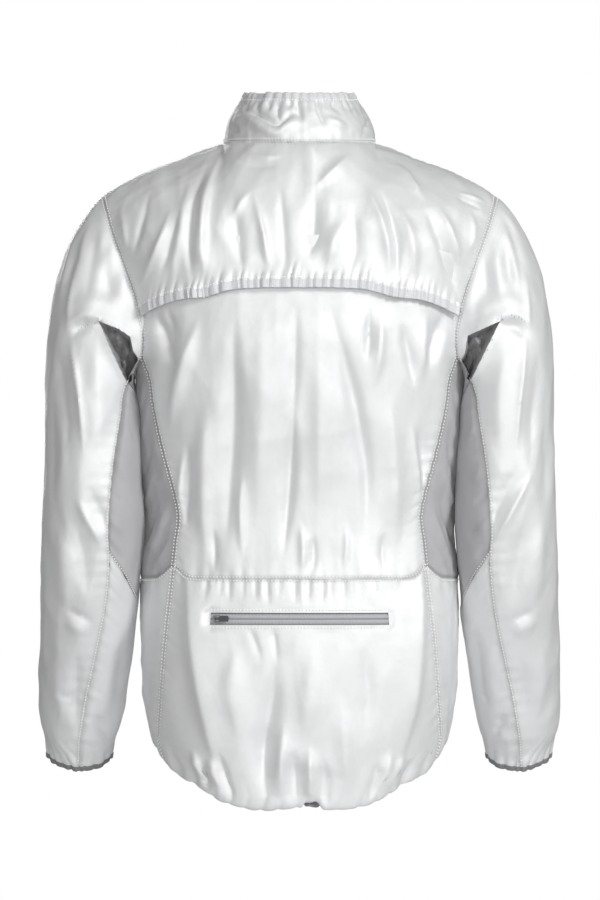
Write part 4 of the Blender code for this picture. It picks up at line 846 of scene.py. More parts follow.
SLEEVE_LEFT_FOLDS = [
    (5, 1.6, 1.3, [(95, 214), (84, 240), (74, 300)]),
    (7, -1.8, 1.6, [(90, 218), (78, 250), (66, 310)]),
    (5, 1.5, 1.3, [(84, 216), (70, 250), (59, 312)]),
    (7, -1.6, 1.6, [(99, 226), (92, 260), (86, 306)]),
    (3, 1.2, 1.3, [(104, 224), (102, 240), (101, 256)]),
    (3, 1.2, 1.3, [(110, 243), (112, 256), (116, 270)]),
    (8, -2.2, 1.7, [(104, 258), (108, 284), (110, 308)]),
    (9, 2.0, 1.7, [(119, 264), (124, 292), (128, 322)]),
    (4, 2.6, 1.1, [(77, 250), (72, 290), (68.5, 333)]),
    (8, 3.6, 1.5, [(56, 337), (68, 327), (84, 317.5), (97, 318.5), (119, 328), (142, 344)], -0.5),
    (10, 2.0, 1.8, [(62, 316), (84, 303), (104, 304), (132, 320)]),
    (6, -3.0, 1.6, [(70, 338), (84, 326), (98, 326)]),
    (4, 3.2, 1.2, [(97, 320), (111, 350), (126, 382), (134, 398)]),
    (4, 3.0, 1.0, [(68, 328), (79, 390), (85, 462)]),
    (13, -3.0, 1.7, [(56, 340), (62, 380), (70, 470)]),
    (12, 2.2, 1.8, [(92, 345), (99, 395), (98, 460)]),
    (5, 3.0, 1.2, [(76, 496), (90, 522), (107, 551)]),
    (9, -2.4, 1.7, [(88, 484), (99, 508), (112, 536)]),
    (12, -2.6, 1.8, [(76, 515), (82, 555), (88, 600)]),
    (12, 2.2, 1.8, [(60, 520), (64, 560), (68, 612)]),
    (4, -1.8, 1.3, [(62, 608), (78, 615), (96, 624)]),
    (8, 1.6, 1.6, [(60, 618), (78, 628), (94, 636)]),
    (4, -1.2, 1.4, [(54, 692), (64, 698), (76, 701)]),
    (11, 1.8, 1.8, [(58, 640), (56, 680), (60, 726)]),
    (9, -2.0, 1.7, [(76, 650), (75, 690), (74, 734)]),
    (6, -3.0, 1.5, [(94, 714), (99, 726), (105, 740)]),
    (11, 2.0, 1.8, [(110, 640), (106, 680), (99, 724)]),
    (9, -2.0, 1.8, [(124, 620), (120, 665), (112, 710)]),
    (12, -2.0, 1.8, [(52, 380), (52, 450), (54, 510)]),
]
SLEEVE_RIGHT_FOLDS = [
    (3, 1.2, 1.2, [(497, 205), (510, 220), (526, 244)]),
    (5, 1.4, 1.3, [(498, 212), (508, 240), (520, 296)]),
    (7, -1.8, 1.6, [(504, 214), (516, 245), (528, 304)]),
    (8, -2.6, 1.6, [(505, 234), (509, 262), (512, 298)]),
    (8, 2.0, 1.6, [(494, 236), (497, 270), (502, 310)]),
    (8, -2.2, 1.7, [(484, 250), (486, 280), (486, 308)]),
    (9, 2.2, 1.7, [(473, 262), (470, 292), (469, 322)]),
    (4, 2.4, 1.1, [(522, 256), (526, 292), (528, 334)]),
    (8, 3.6, 1.5, [(541, 335), (528, 325), (514, 317.5), (500, 319), (480, 329), (456, 342)], 0.5),
    (10, 2.0, 1.8, [(536, 316), (514, 303), (494, 304), (466, 320)]),
    (6, -3.0, 1.6, [(528, 338), (513, 326), (500, 327)]),
    (4, 3.2, 1.2, [(502, 320), (486, 350), (472, 378), (464, 399)]),
    (4, 3.0, 1.0, [(527, 328), (520, 390), (514, 462)]),
    (13, -3.0, 1.7, [(541, 340), (537, 380), (529, 470)]),
    (12, 2.2, 1.8, [(506, 345), (500, 395), (500, 460)]),
    (5, 3.0, 1.2, [(533, 468), (507, 518), (491, 548)]),
    (9, -2.4, 1.7, [(519, 462), (500, 500), (485, 534)]),
    (12, -2.6, 1.8, [(525, 516), (518, 555), (511, 606)]),
    (12, 2.2, 1.8, [(541, 520), (537, 560), (533, 612)]),
    (4, -1.8, 1.3, [(506, 623), (522, 616), (538, 608)]),
    (8, 1.6, 1.6, [(508, 634), (522, 628), (540, 620)]),
    (4, -1.2, 1.4, [(480, 693), (486, 699), (494, 701)]),
    (11, 1.8, 1.8, [(541, 640), (543, 680), (539, 726)]),
    (9, -2.0, 1.7, [(523, 650), (525, 690), (526, 734)]),
    (6, -3.0, 1.5, [(506, 714), (501, 726), (496, 740)]),
    (11, 2.0, 1.8, [(489, 640), (493, 680), (500, 724)]),
    (9, -2.0, 1.8, [(475, 620), (479, 665), (487, 710)]),
    (12, -2.0, 1.8, [(547, 380), (546, 450), (544, 510)]),
]
# The hollow under each arm, where the sleeve's lower part folds in under the upper: its outline.
HOLLOW_LEFT = [
    (99, 321), (119, 329), (131, 337), (134, 352), (141, 362), (141, 380), (136, 394), (126, 381),
    (111, 349),
]
HOLLOW_RIGHT = [
    (500, 321), (480, 330), (467, 336), (464, 355), (458, 364), (458, 383), (463, 397), (472, 378),
    (486, 349),
]
# The sleeves' front halves, seen from the front; the right sleeve mirrors them.
SLEEVE_FRONT_FOLDS = [
    (7, 4.0, 1.4, [(96, 225), (90, 262), (92, 300)]),
    (7, -4.0, 1.5, [(108, 235), (104, 270), (108, 305)]),
    (9, -8.0, 1.6, [(136, 330), (110, 345), (84, 350)]),
    (8, 5.0, 1.4, [(134, 316), (108, 330), (80, 336)]),
    (9, -6.0, 1.6, [(130, 470), (104, 462), (70, 440)]),
    (8, 5.0, 1.4, [(132, 490), (104, 482), (66, 462)]),
    (8, -5.0, 1.6, [(128, 520), (100, 512), (74, 500)]),
    (7, 3.4, 1.5, [(70, 560), (72, 620), (66, 690)]),
    (7, -3.4, 1.6, [(90, 580), (90, 640), (84, 710)]),
    (6, 3.0, 1.5, [(108, 600), (104, 650), (98, 700)]),
]
COLLAR_FOLDS = [
    (4, 3.2, 1.4, [(231, 114), (243, 117), (257, 126), (277, 135), (294, 124), (306, 130)]),
    (4, -4.0, 1.5, [(236, 108), (246, 110), (259, 116), (277, 125), (294, 114), (304, 118)]),
    (2.5, -2.6, 1.4, [(246, 99), (246, 105), (248, 112)]),
    (2.5, -2.6, 1.4, [(258, 98), (257, 108), (260, 119)]),
    (2.5, -2.4, 1.4, [(269, 99), (268, 105), (270, 112)]),
    (3, -3.0, 1.4, [(279, 98), (277, 112), (280, 126)]),
    (2.5, -2.0, 1.4, [(290, 99), (290, 104), (291, 110)]),
    (3, -3.2, 1.4, [(297, 98), (299, 112), (303, 125)]),
    (2.5, -2.6, 1.4, [(317, 98), (318, 108), (321, 116), (328, 132)]),
    (2.5, -2.4, 1.4, [(331, 98), (333, 106), (338, 113)]),
    (2.5, -2.4, 1.4, [(347, 99), (352, 106), (350, 114)]),
    (2.5, -2.0, 1.4, [(361, 101), (362, 107), (361, 113)]),
    (3, -2.4, 1.4, [(372, 108), (367, 124), (360, 140)]),
    (4, -2.4, 1.6, [(228, 118), (233, 126), (241, 134)]),
    (5, 1.8, 1.7, [(322, 116), (338, 124), (352, 130)]),
]
# The collar's ridge is also pulled up and back, so that it hangs over the crease below it.
COLLAR_RIDGE = (3, 2.6, 1.5, [(231, 112), (243, 114), (257, 122), (277, 132), (295, 121), (306, 127)])
COLLAR_RIDGE_PULL = (0.0, 0.2, 1.0)
COLLAR_FRONT_FOLDS = [
    (4, -2.4, 1.5, [(258, 160), (262, 175), (272, 186)]),
    (4, 2.4, 1.5, [(244, 150), (248, 166), (256, 180)]),
    (4, -2.4, 1.5, [(341, 160), (337, 175), (328, 186)]),
    (4, 2.4, 1.5, [(355, 150), (351, 166), (343, 180)]),
]


# The cut pieces -----------------------------------------------------------------------------------

COARSER = 1.06  # makes every grid coarser by this factor, to keep the triangles under a million


def stations(low, high, step):
    """Evenly spaced values from low to high, about one step apart."""
    return np.linspace(low, high, max(2, int(round(abs(high - low) / (step * COARSER))) + 1))


WRINKLE_HEIGHT = 0.8 * MM


def yoke_cloth():
    share, climb = np.meshgrid(stations(-1, 1, 0.0085), 1 - (1 - stations(0, 1, 0.0105)) ** 1.8)
    reach = armhole_back_x(TIP_Z)
    x = share * armhole_back_x(YOKE_END_Z + climb * (TIP_Z - YOKE_END_Z))
    top = ridge(share * reach, False)[0]
    bottom = flap_hem_z(np.abs(share) * armhole_back_x(YOKE_END_Z))
    points = skin(x, bottom + (top - bottom) * climb, False)
    smooth = np.array([smoothed(row, np.hanning(23)) for row in points[..., 1]])
    inner = (1 - smoothstep(0.8, 0.99, climb)) * (1 - smoothstep(0.86, 0.98, np.abs(share)))
    points[..., 1] += (smooth - points[..., 1]) * inner
    cloth = Cloth("yoke_cloth", points)
    calm = cloth.calm(9 * MM, "first", "last", "top")
    press(cloth, YOKE_FOLDS, factor=calm, strength=FOLD_STRENGTH)
    reach = 8.5 * MM * (1 + 0.4 * uneven_waves(cloth.across, 60 * MM, 5))
    cloth.gather("bottom", pitch=9.5 * MM, seed=21, height=4.6 * MM, reach=reach, fall=1.6, level=0.0,
                 factor=cloth.calm(12 * MM, "first", "last"))
    cloth.wrinkle(46 * MM, WRINKLE_HEIGHT, 3, calm)
    cloth.sew(top="shoulder", first="yoke_right", last="yoke_left")
    return cloth


def back_cloth():
    top_level = YOKE_END_Z + FLAP_COVER
    share, level = np.meshgrid(stations(-1, 1, 0.0125), stations(SEAM_WAIST_Z, top_level, 2.3 * MM))
    inset = HIDDEN_INSET * smoothstep(YOKE_END_Z, YOKE_END_Z + 14 * MM, level)
    edge = np.where(level <= ARM_SEAM_Z, side_seam_x(level), armhole_back_x(level) - inset)
    x = share * edge
    bottom = waist_z(share * side_seam_x(SEAM_WAIST_Z))
    top = flap_hem_z(np.abs(share) * armhole_back_x(YOKE_END_Z)) + FLAP_COVER
    z = bottom + (top - bottom) * (level - SEAM_WAIST_Z) / (top_level - SEAM_WAIST_Z)
    cloth = Cloth("back_cloth", skin(x, z, False))
    hidden = 1 - smoothstep(-FLAP_COVER - 22 * MM, -FLAP_COVER - 2 * MM, z - top)
    calm = cloth.calm(8 * MM, "first", "last") * cloth.calm(5 * MM, "bottom") * hidden
    press(cloth, BACK_FOLDS, factor=calm, strength=FOLD_STRENGTH)
    cloth.gather("bottom", pitch=13 * MM, seed=57, height=0.8 * MM, reach=9 * MM, fall=1.0, factor=calm)
    cloth.wrinkle(52 * MM, WRINKLE_HEIGHT, 4, calm, (1.0, 1.0, 0.22))
    cloth.raise_by(-flap_sink(x, z, np.abs(share)))
    cloth.sew(bottom="waist", first="back_right", last="back_left")
    return cloth


def lower_levels():
    """Heights of the rows below the waist; two of them are the edges of the pocket's cut."""
    return np.concatenate([
        stations(LOWER_Z, POCKET_BOTTOM_Z, 2.3 * MM)[1:],
        stations(POCKET_BOTTOM_Z, POCKET_TOP_Z, 2.3 * MM)[1:],
        stations(POCKET_TOP_Z, SEAM_WAIST_Z, 2.0 * MM)[1:],
    ])


def lower_cloth():
    cut = POCKET_HALF_WIDTH / lower_seam_x(POCKET_TOP_Z)
    past_cut = stations(cut, 1, 0.014)
    share = np.concatenate([-past_cut[::-1], stations(-cut, cut, 0.0125)[1:-1], past_cut])
    hem = hem_profile(hem_turn(share * lower_seam_x(LOWER_Z)))
    start = hem[-1][:, 2]
    waist = waist_z(share * side_seam_x(SEAM_WAIST_Z))
    aside = smoothstep(cut, 1.0, np.abs(share))
    rows = []
    for level in lower_levels():
        curved = start + (waist - start) * (level - start[-1]) / (SEAM_WAIST_Z - start[-1])
        straight = smoothstep(*POCKET_ROWS_START, level) * (1 - aside)
        z = curved + (level - curved) * straight
        if level > POCKET_ROWS_TOP_Z:
            t = (level - POCKET_ROWS_TOP_Z) / (SEAM_WAIST_Z - POCKET_ROWS_TOP_Z)
            flat = POCKET_ROWS_TOP_Z + (curved - POCKET_ROWS_TOP_Z) * aside
            z = flat * (1 - t) + waist * t
        rows.append(skin(share * lower_seam_x(np.minimum(z, SEAM_WAIST_Z)), z, False))
    points = np.concatenate([hem, np.array(rows)])
    points[-1] = skin(share * side_seam_x(SEAM_WAIST_Z), waist, False)
    cloth = Cloth("lower_cloth", points)
    centres = (points[:-1, :-1] + points[1:, 1:]) / 2
    pocket_z = (POCKET_TOP_Z + POCKET_BOTTOM_Z) / 2
    half_height = (POCKET_TOP_Z - POCKET_BOTTOM_Z) / 2
    within = np.abs(share[:-1] + share[1:]) / 2 < cut
    cloth.hole = (np.abs(centres[..., 2] - pocket_z) < half_height) & within[None, :]
    height = points[..., 2]
    pocket = (np.maximum(0, np.abs(height - pocket_z) - POCKET_FLAT)
              + np.maximum(0, np.abs(points[..., 0]) - POCKET_HALF_WIDTH))
    sides = cloth.calm(8 * MM, "first", "last")
    calm = sides * smoothstep(1 * MM, 9 * MM, pocket)
    press(cloth, LOWER_FOLDS, factor=calm * cloth.calm(3 * MM, "top"), strength=FOLD_STRENGTH)
    press(cloth, WAIST_GATHERS, factor=calm * cloth.calm(2 * MM, "top"), strength=0.7)
    cloth.gather("top", pitch=11 * MM, seed=61, height=1.3 * MM, reach=11 * MM, fall=1.5,
                 factor=calm * cloth.calm(3 * MM, "top"))
    cloth.gather("bottom", pitch=21 * MM, seed=71, height=3.0 * MM, reach=HEM_GATHER_REACH,
                 level=HEM_GATHER_LEVEL, factor=sides)
    near_hem = np.exp(-0.5 * (cloth.upward / HEM_GATHER_REACH) ** 2)
    too_deep = np.sum(cloth.shift * cloth.normals, axis=-1) + HEM_DENT
    cloth.raise_by(-np.minimum(0, too_deep) * near_hem)
    above_fold = height - hem[:, :, 2].min(axis=0)
    cloth.shift[..., 2] += NOTCH_RISE * hem_notch(points[..., 0]) * np.exp(-((above_fold / (13 * MM)) ** 2))
    cloth.wrinkle(50 * MM, WRINKLE_HEIGHT, 5, calm, (1.0, 1.0, 0.25))
    cloth.raise_by(0.5 * MM * np.exp(-((pocket / (2 * MM)) ** 2)))
    cloth.sew(top="waist", first="lower_right", last="lower_left")
    return cloth


def side_cloth():
    share = stations(0, 1, 0.019)
    arm = underarm(share)
    waist_turn = turn_of(side_seam_x(SEAM_WAIST_Z), SEAM_WAIST_Z)
    waist_x = girth(waist_turn + (math.pi - 2 * waist_turn) * share, SEAM_WAIST_Z)[..., 0]
    bottom = waist_z(waist_x)
    rows = []
    for level in stations(SEAM_WAIST_Z, ARM_SEAM_Z, 2.3 * MM):
        start = turn_of(side_seam_x(level), level)
        climb = (level - SEAM_WAIST_Z) / (ARM_SEAM_Z - SEAM_WAIST_Z)
        points = girth(start + (math.pi - 2 * start) * share, bottom + (arm[..., 2] - bottom) * climb)
        points[0] = skin(side_seam_x(level), level, False)
        points[-1] = skin(side_seam_x(level), level, True)
        rows.append(points)
    rows[-1] = arm
    return Cloth("side_cloth_left", np.array(rows))


FRONT_SEAM_BLEND = (-645 * MM, -565 * MM)


def front_seam_x(z):
    """x of the lower front seam: from where the hem's pieces meet to the back seam's line above."""
    at_hem = half_width(z) * lower_seam_x(LOWER_Z) / half_width(LOWER_Z)
    return at_hem + (lower_seam_x(z) - at_hem) * smoothstep(*FRONT_SEAM_BLEND, z)


def side_lower_cloth():
    share = stations(0, 1, 0.0185)

    def turns(behind, ahead):
        """Angles from the back seam at one height to the front seam at another."""
        start, end = turn_of(lower_seam_x(behind), behind), turn_of(front_seam_x(ahead), ahead)
        return start + (math.pi - start - end) * share

    hem = hem_profile(turns(LOWER_Z, LOWER_Z))
    start = hem[-1][:, 2]
    waist = waist_z(girth(turns(SEAM_WAIST_Z, SEAM_WAIST_Z), SEAM_WAIST_Z)[..., 0])
    rows = []
    for level in lower_levels():
        climb = (level - start[0]) / (SEAM_WAIST_Z - start[0])
        z = start + (waist - start) * climb
        rows.append(girth(turns(z[0], z[-1]), z))
    return Cloth("side_lower_cloth_left", np.concatenate([hem, np.array(rows)]))


def front_cloth():
    share = stations(0, 1, 0.017)
    reach = ZIP_HALF_GAP + share * (armhole_back_x(TIP_Z) - ZIP_HALF_GAP)
    top = ridge(reach, True)[0]
    hem = hem_profile(math.pi - hem_turn(ZIP_HALF_GAP + share * (lower_seam_x(LOWER_Z) - ZIP_HALF_GAP)))
    bottom = hem[-1][:, 2]
    arm = ARM_SEAM_Z + (TIP_Z - ARM_SEAM_Z) * (1 - (1 - stations(0, 1, 0.013)) ** 1.6)
    levels = np.concatenate([lower_levels(), stations(SEAM_WAIST_Z, ARM_SEAM_Z, 2.3 * MM)[1:], arm[1:]])
    rows = []
    for level in levels[levels > bottom[-1] + MM]:
        if level <= SEAM_WAIST_Z:
            edge = front_seam_x(level)
        elif level <= ARM_SEAM_Z:
            edge = side_seam_x(level)
        else:
            edge = armhole_front_x(level)
        z = bottom + (top - bottom) * (level - bottom[-1]) / (TIP_Z - bottom[-1])
        rows.append(skin(ZIP_HALF_GAP + share * (edge - ZIP_HALF_GAP), z, True))
    return Cloth("front_cloth_left", np.concatenate([hem, np.array(rows)]))


COLLAR_STRENGTH = 1.5


def collar_cloth():
    last = collar_end()
    turn, climb = np.meshgrid(stations(-last, last, 0.026), stations(0, 1, 0.036))
    cloth = Cloth("collar_cloth", collar_point(turn, climb))
    calm = cloth.calm(5 * MM, "bottom") * cloth.calm(6 * MM, "first", "last")
    press(cloth, COLLAR_FOLDS, factor=calm, strength=COLLAR_STRENGTH)
    press(cloth, [COLLAR_RIDGE], factor=calm, strength=COLLAR_STRENGTH, pull=COLLAR_RIDGE_PULL)
    press(cloth, COLLAR_FRONT_FOLDS, side=-1, factor=calm)
    cloth.gather("top", pitch=10.5 * MM, seed=81, height=3.0 * MM, reach=15 * MM, fall=1.5, factor=calm,
                 along=cloth.across[-1:])
    cloth.wrinkle(24 * MM, 0.35 * MM, 6, calm, (1.0, 1.0, 0.8))
    cloth.sew(bottom="neck")
    return cloth


ARMHOLE_HEART = np.array([95, -5, -185]) * MM  # the armhole's seam allowance is turned in toward this
SEAM_ALLOWANCE = 8 * MM
HOLLOW_DEPTH = 34 * MM


def tucked(rows):
    """Adds the turned-in seam allowance to the rows that end at the armhole."""
    edge = rows[-1]
    inward = unit(ARMHOLE_HEART - edge) * SEAM_ALLOWANCE
    return np.concatenate([rows, (edge + inward * 0.25)[None], (edge + inward)[None]])


def sleeve_outer_cloth():
    across = stations(-1, 1, 0.0155)
    front = skin(armhole_front_x(stations(ARM_SEAM_Z, TIP_Z, MM)), stations(ARM_SEAM_Z, TIP_Z, MM), True)
    back = skin(armhole_back_x(stations(TIP_Z, ARM_SEAM_Z, MM)), stations(TIP_Z, ARM_SEAM_Z, MM), False)
    half = len(across) // 2
    start = np.concatenate([even_along(front, across[:half] + 1), even_along(back, across[half:])])
    rows = [tube(across * seam_angle(z), z) for z in stations(CUFF_Z, CAP_END_Z, 2.7 * MM)]
    around = across * seam_angle(CAP_END_Z)
    head = cap(start, around, stations(0.98, 0, 0.021))
    return Cloth("sleeve_outer_cloth_left", tucked(np.concatenate([np.array(rows), head])), SLEEVE_MIDDLE)


def sleeve_insert_cloth():
    share = stations(0, 1, 0.024)
    rows = []
    for z in stations(INSERT_END_Z, CAP_END_Z, 2.3 * MM):
        climb = (z - CAP_END_Z) / (INSERT_END_Z - CAP_END_Z)
        rows.append(tube(under_angles(z, share), CAP_END_Z + climb * (tip_line(share) - CAP_END_Z)))
    head = cap(underarm(share), under_angles(CAP_END_Z, share), stations(0.97, 0, 0.03))
    return Cloth("sleeve_insert_cloth_left", tucked(np.concatenate([np.array(rows), head])), SLEEVE_MIDDLE)


def sleeve_under_cloth():
    share = stations(0, 1, 0.023)
    rows = []
    for z in stations(CUFF_Z, INSERT_END_Z, 2.2 * MM):
        climb = (z - CUFF_Z) / (INSERT_END_Z - CUFF_Z)
        rows.append(tube(under_angles(z, share), CUFF_Z + climb * (tip_line(share) - CUFF_Z)))
    return Cloth("sleeve_under_cloth_left", np.array(rows), SLEEVE_MIDDLE)


# Shader maths and finishes ------------------------------------------------------------------------


class Channel:
    """A shader socket that takes part in Python arithmetic."""

    def __init__(self, tree, socket):
        self.tree = tree
        self.socket = socket

    def maths(self, operation, *values):
        node = self.tree.nodes.new("ShaderNodeMath")
        node.operation = operation
        for socket, value in zip(node.inputs, values):
            plug(self.tree, socket, value)
        return Channel(self.tree, node.outputs[0])

    def __add__(self, other):
        return self.maths("ADD", self, other)

    def __sub__(self, other):
        return self.maths("SUBTRACT", self, other)

    def __rsub__(self, other):
        return self.maths("SUBTRACT", other, self)

    def __mul__(self, other):
        return self.maths("MULTIPLY", self, other)

    def wave(self):
        return self.maths("SINE", self)

    def size(self):
        return self.maths("ABSOLUTE", self)

    __radd__ = __add__
    __rmul__ = __mul__


def plug(tree, socket, value):
    if isinstance(value, Channel):
        tree.links.new(value.socket, socket)
    else:
        socket.default_value = value


class Finish:
    """A procedural material: one Principled shader and the nodes that feed it."""

    def __init__(self, name):
        self.material = bpy.data.materials.new(name)
        self.material.use_nodes = True
        self.tree = self.material.node_tree
        self.shader = self.tree.nodes["Principled BSDF"]

    def node(self, kind, settings=None, values=None, output=0):
        made = self.tree.nodes.new(kind)
        for key, value in (settings or {}).items():
            if key == "stops":
                for element, (place, shade) in zip(made.color_ramp.elements, value):
                    element.position = place
                    element.color = (shade, shade, shade, 1)
            else:
                setattr(made, key, value)
        for key, value in (values or {}).items():
            plug(self.tree, made.inputs[key], value)
        return Channel(self.tree, made.outputs[output])

    def noise(self, place, scale, detail=2.0, distortion=0.0):
        return self.node("ShaderNodeTexNoise", values={
            "Vector": place, "Scale": scale, "Detail": detail, "Distortion": distortion})

    def ramp(self, factor, low, high):
        return self.node("ShaderNodeMapRange", values={"Value": factor, "From Min": low, "From Max": high})

    def blend(self, factor, first, second):
        return self.node("ShaderNodeMix", {"data_type": "RGBA"}, {0: factor, 6: first, 7: second}, output=2)

    def place(self):
        return self.node("ShaderNodeTexCoord", output=3)

    def cloth_axes(self):
        """Distance across and up the piece, from its UV map."""
        spread = self.node("ShaderNodeTexCoord", output=2)
        parts = self.node("ShaderNodeSeparateXYZ", values={0: spread})
        return parts, Channel(self.tree, parts.socket.node.outputs[1])

    def shaded(self):
        """1 in the creases beside the seams and 0 elsewhere."""
        return self.node("ShaderNodeAttribute", {"attribute_name": "shaded"}, output=2)

    def set(self, **values):
        for name, value in values.items():
            plug(self.tree, self.shader.inputs[name.replace("_", " ")], value)

    def relief(self, height, strength, distance):
        bump = self.node("ShaderNodeBump", values={
            "Height": height, "Strength": strength, "Distance": distance})
        self.set(Normal=bump)
        return self.material


def shade(colour, factor):
    return (*(channel * factor for channel in colour), 1.0)


def silver_finish(name, colour, metallic, roughness):
    """Coated cloth: a satin silver face with fine creases over a plain weave."""
    finish = Finish(name)
    place = finish.place()
    u, v = finish.cloth_axes()
    broad = finish.noise(place, 11.0, 3.0)
    crinkle = finish.noise(place, 95.0, 4.0, 0.6)
    rubbed = finish.ramp(finish.noise(place, 46.0, 5.0, 0.3), 0.45, 0.75)
    weave = (u * (2 * math.pi / (0.7 * MM))).wave() * (v * (2 * math.pi / (0.7 * MM))).wave()
    tone = finish.blend(broad, shade(colour, 0.955), shade(colour, 1.035))
    tone = finish.blend(rubbed * 0.35, tone, shade(colour, 0.9))
    # Painted shade from the shaded attribute: seams, stitching and the hollow under the arm.
    tone = finish.blend(finish.shaded(), tone, shade(colour, 0.42))
    finish.set(Base_Color=tone, Metallic=metallic, Roughness=roughness + 0.10 * broad + 0.06 * rubbed)
    finish.set(Specular_IOR_Level=0.45, Sheen_Weight=0.0)
    return finish.relief(crinkle + 0.10 * weave, 0.30, 1.1 * MM)


def stretch_finish(name, colour):
    """Knitted stretch cloth: fine ribs of stitches up the piece."""
    finish = Finish(name)
    place = finish.place()
    u, v = finish.cloth_axes()
    broad = finish.noise(place, 24.0, 3.0)
    fibre = finish.noise(place, 900.0, 2.0)
    ribs = (u * (2 * math.pi / (1.1 * MM))).wave()
    loops = (v * (2 * math.pi / (0.8 * MM)) + 1.5 * ribs.size()).wave()
    tone = finish.blend(broad, shade(colour, 0.86), shade(colour, 1.12))
    tone = finish.blend(fibre * 0.5 + ribs.size() * 0.2, tone, shade(colour, 1.25))
    # Painted shade from the shaded attribute, to near black in the hollow under the arm.
    tone = finish.blend(finish.shaded(), tone, shade(colour, 0.10))
    finish.set(Base_Color=tone, Roughness=0.82 + 0.1 * fibre, Metallic=0.0)
    finish.set(Sheen_Weight=0.25, Sheen_Roughness=0.45)
    return finish.relief(ribs * 0.6 + loops * 0.4 + broad * 2.0, 0.35, 0.5 * MM)


def elastic_finish(name, colour, rib=1.3 * MM, shine=0.0):
    """Folded elastic: narrow cords along the band, puckered across it."""
    finish = Finish(name)
    place = finish.place()
    u, v = finish.cloth_axes()
    cords = (v * (2 * math.pi / rib)).wave()
    pucker = (u * (2 * math.pi / (2.4 * MM)) + 3.0 * finish.noise(place, 80.0)).wave()
    fleck = finish.noise(place, 600.0, 2.0)
    tone = finish.blend(fleck, shade(colour, 0.8), shade(colour, 1.15))
    tone = finish.blend(finish.ramp(cords, -0.2, 1.0) * 0.4, tone, shade(colour, 1.3))
    finish.set(Base_Color=tone, Roughness=0.72 - 0.12 * finish.ramp(cords, 0.0, 1.0), Metallic=shine)
    return finish.relief(cords * 0.7 + pucker * 0.4, 0.35, 0.5 * MM)


def tape_finish(name, colour):
    """Woven zip tape: a fine twill."""
    finish = Finish(name)
    u, v = finish.cloth_axes()
    twill = ((u + v) * (2 * math.pi / (0.9 * MM))).wave()
    fleck = finish.noise(finish.place(), 500.0, 3.0)
    tone = finish.blend(fleck, shade(colour, 0.85), shade(colour, 1.1))
    tone = finish.blend(twill.size() * 0.3, tone, shade(colour, 1.2))
    # Painted shade on the tape: under the cloth's edge and along the slit.
    tone = finish.blend(finish.shaded(), tone, shade(colour, 0.3))
    finish.set(Base_Color=tone, Roughness=0.75 + 0.1 * fleck, Metallic=0.0)
    return finish.relief(twill, 0.4, 0.25 * MM)


def nylon_finish(name, colour):
    """Moulded nylon of the zip's coil."""
    finish = Finish(name)
    fleck = finish.noise(finish.place(), 350.0, 2.0)
    finish.set(Base_Color=finish.blend(fleck, shade(colour, 0.9), shade(colour, 1.1)))
    finish.set(Roughness=0.38 + 0.14 * fleck, Metallic=0.0)
    return finish.relief(fleck, 0.15, 0.2 * MM)


def plated_finish(name, colour):
    """Plated metal with fine scratches, worn brighter where it is rubbed."""
    finish = Finish(name)
    place = finish.place()
    stretched = finish.node("ShaderNodeMapping", values={"Vector": place, "Scale": (1.0, 1.0, 9.0)})
    scratches = finish.noise(stretched, 1400.0, 3.0)
    worn = finish.ramp(finish.noise(place, 420.0, 4.0), 0.5, 0.7)
    finish.set(Base_Color=finish.blend(worn, shade(colour, 0.9), shade(colour, 1.5)))
    finish.set(Metallic=1.0, Roughness=0.26 + 0.2 * scratches)
    return finish.relief(scratches, 0.15, 0.15 * MM)


def rubber_finish(name, colour):
    """Soft moulded rubber with a fine sparked texture."""
    finish = Finish(name)
    place = finish.place()
    spark = finish.noise(place, 2200.0, 2.0)
    dust = finish.ramp(finish.noise(place, 260.0, 4.0), 0.4, 0.8)
    finish.set(Base_Color=finish.blend(dust * 0.5, shade(colour, 1.0), shade(colour, 1.7)))
    finish.set(Roughness=0.55 + 0.2 * spark, Metallic=0.0)
    return finish.relief(spark, 0.3, 0.15 * MM)


def thread_finish(name, colour):
    """Spun sewing thread."""
    finish = Finish(name)
    place = finish.place()
    twist = finish.noise(place, 1500.0, 2.0)
    finish.set(Base_Color=finish.blend(twist, shade(colour, 0.8), shade(colour, 1.1)))
    finish.set(Roughness=0.55 + 0.15 * twist, Metallic=0.0)
    return finish.relief(twist, 0.3, 0.1 * MM)


FINISHES = {}


def finish_of(kind):
    """Each finish is made once, from the colours in the panel."""
    if kind not in FINISHES:
        tones = bpy.context.scene.jacket_tones
        makers = {
            "silver": lambda: silver_finish("silver_cloth", tones.silver, 0.24, 0.44),
            "reverse": lambda: silver_finish("cloth_reverse", tones.reverse, 0.0, 0.75),
            "stretch": lambda: stretch_finish("grey_stretch_cloth", tones.stretch),
            "pale_elastic": lambda: elastic_finish("pale_elastic", tones.pale_elastic, shine=0.15),
            "dark_elastic": lambda: elastic_finish("dark_elastic", tones.dark_elastic),
            "tape": lambda: tape_finish("zip_tape", tones.tape),
            "coil": lambda: nylon_finish("zip_coil", tones.tape),
            "metal": lambda: plated_finish("slider_metal", tones.metal),
            "rubber": lambda: rubber_finish("pull_rubber", tones.rubber),
            "thread": lambda: thread_finish("silver_thread", tones.thread),
        }
        FINISHES[kind] = makers[kind]()
    return FINISHES[kind]


# Meshes -------------------------------------------------------------------------------------------


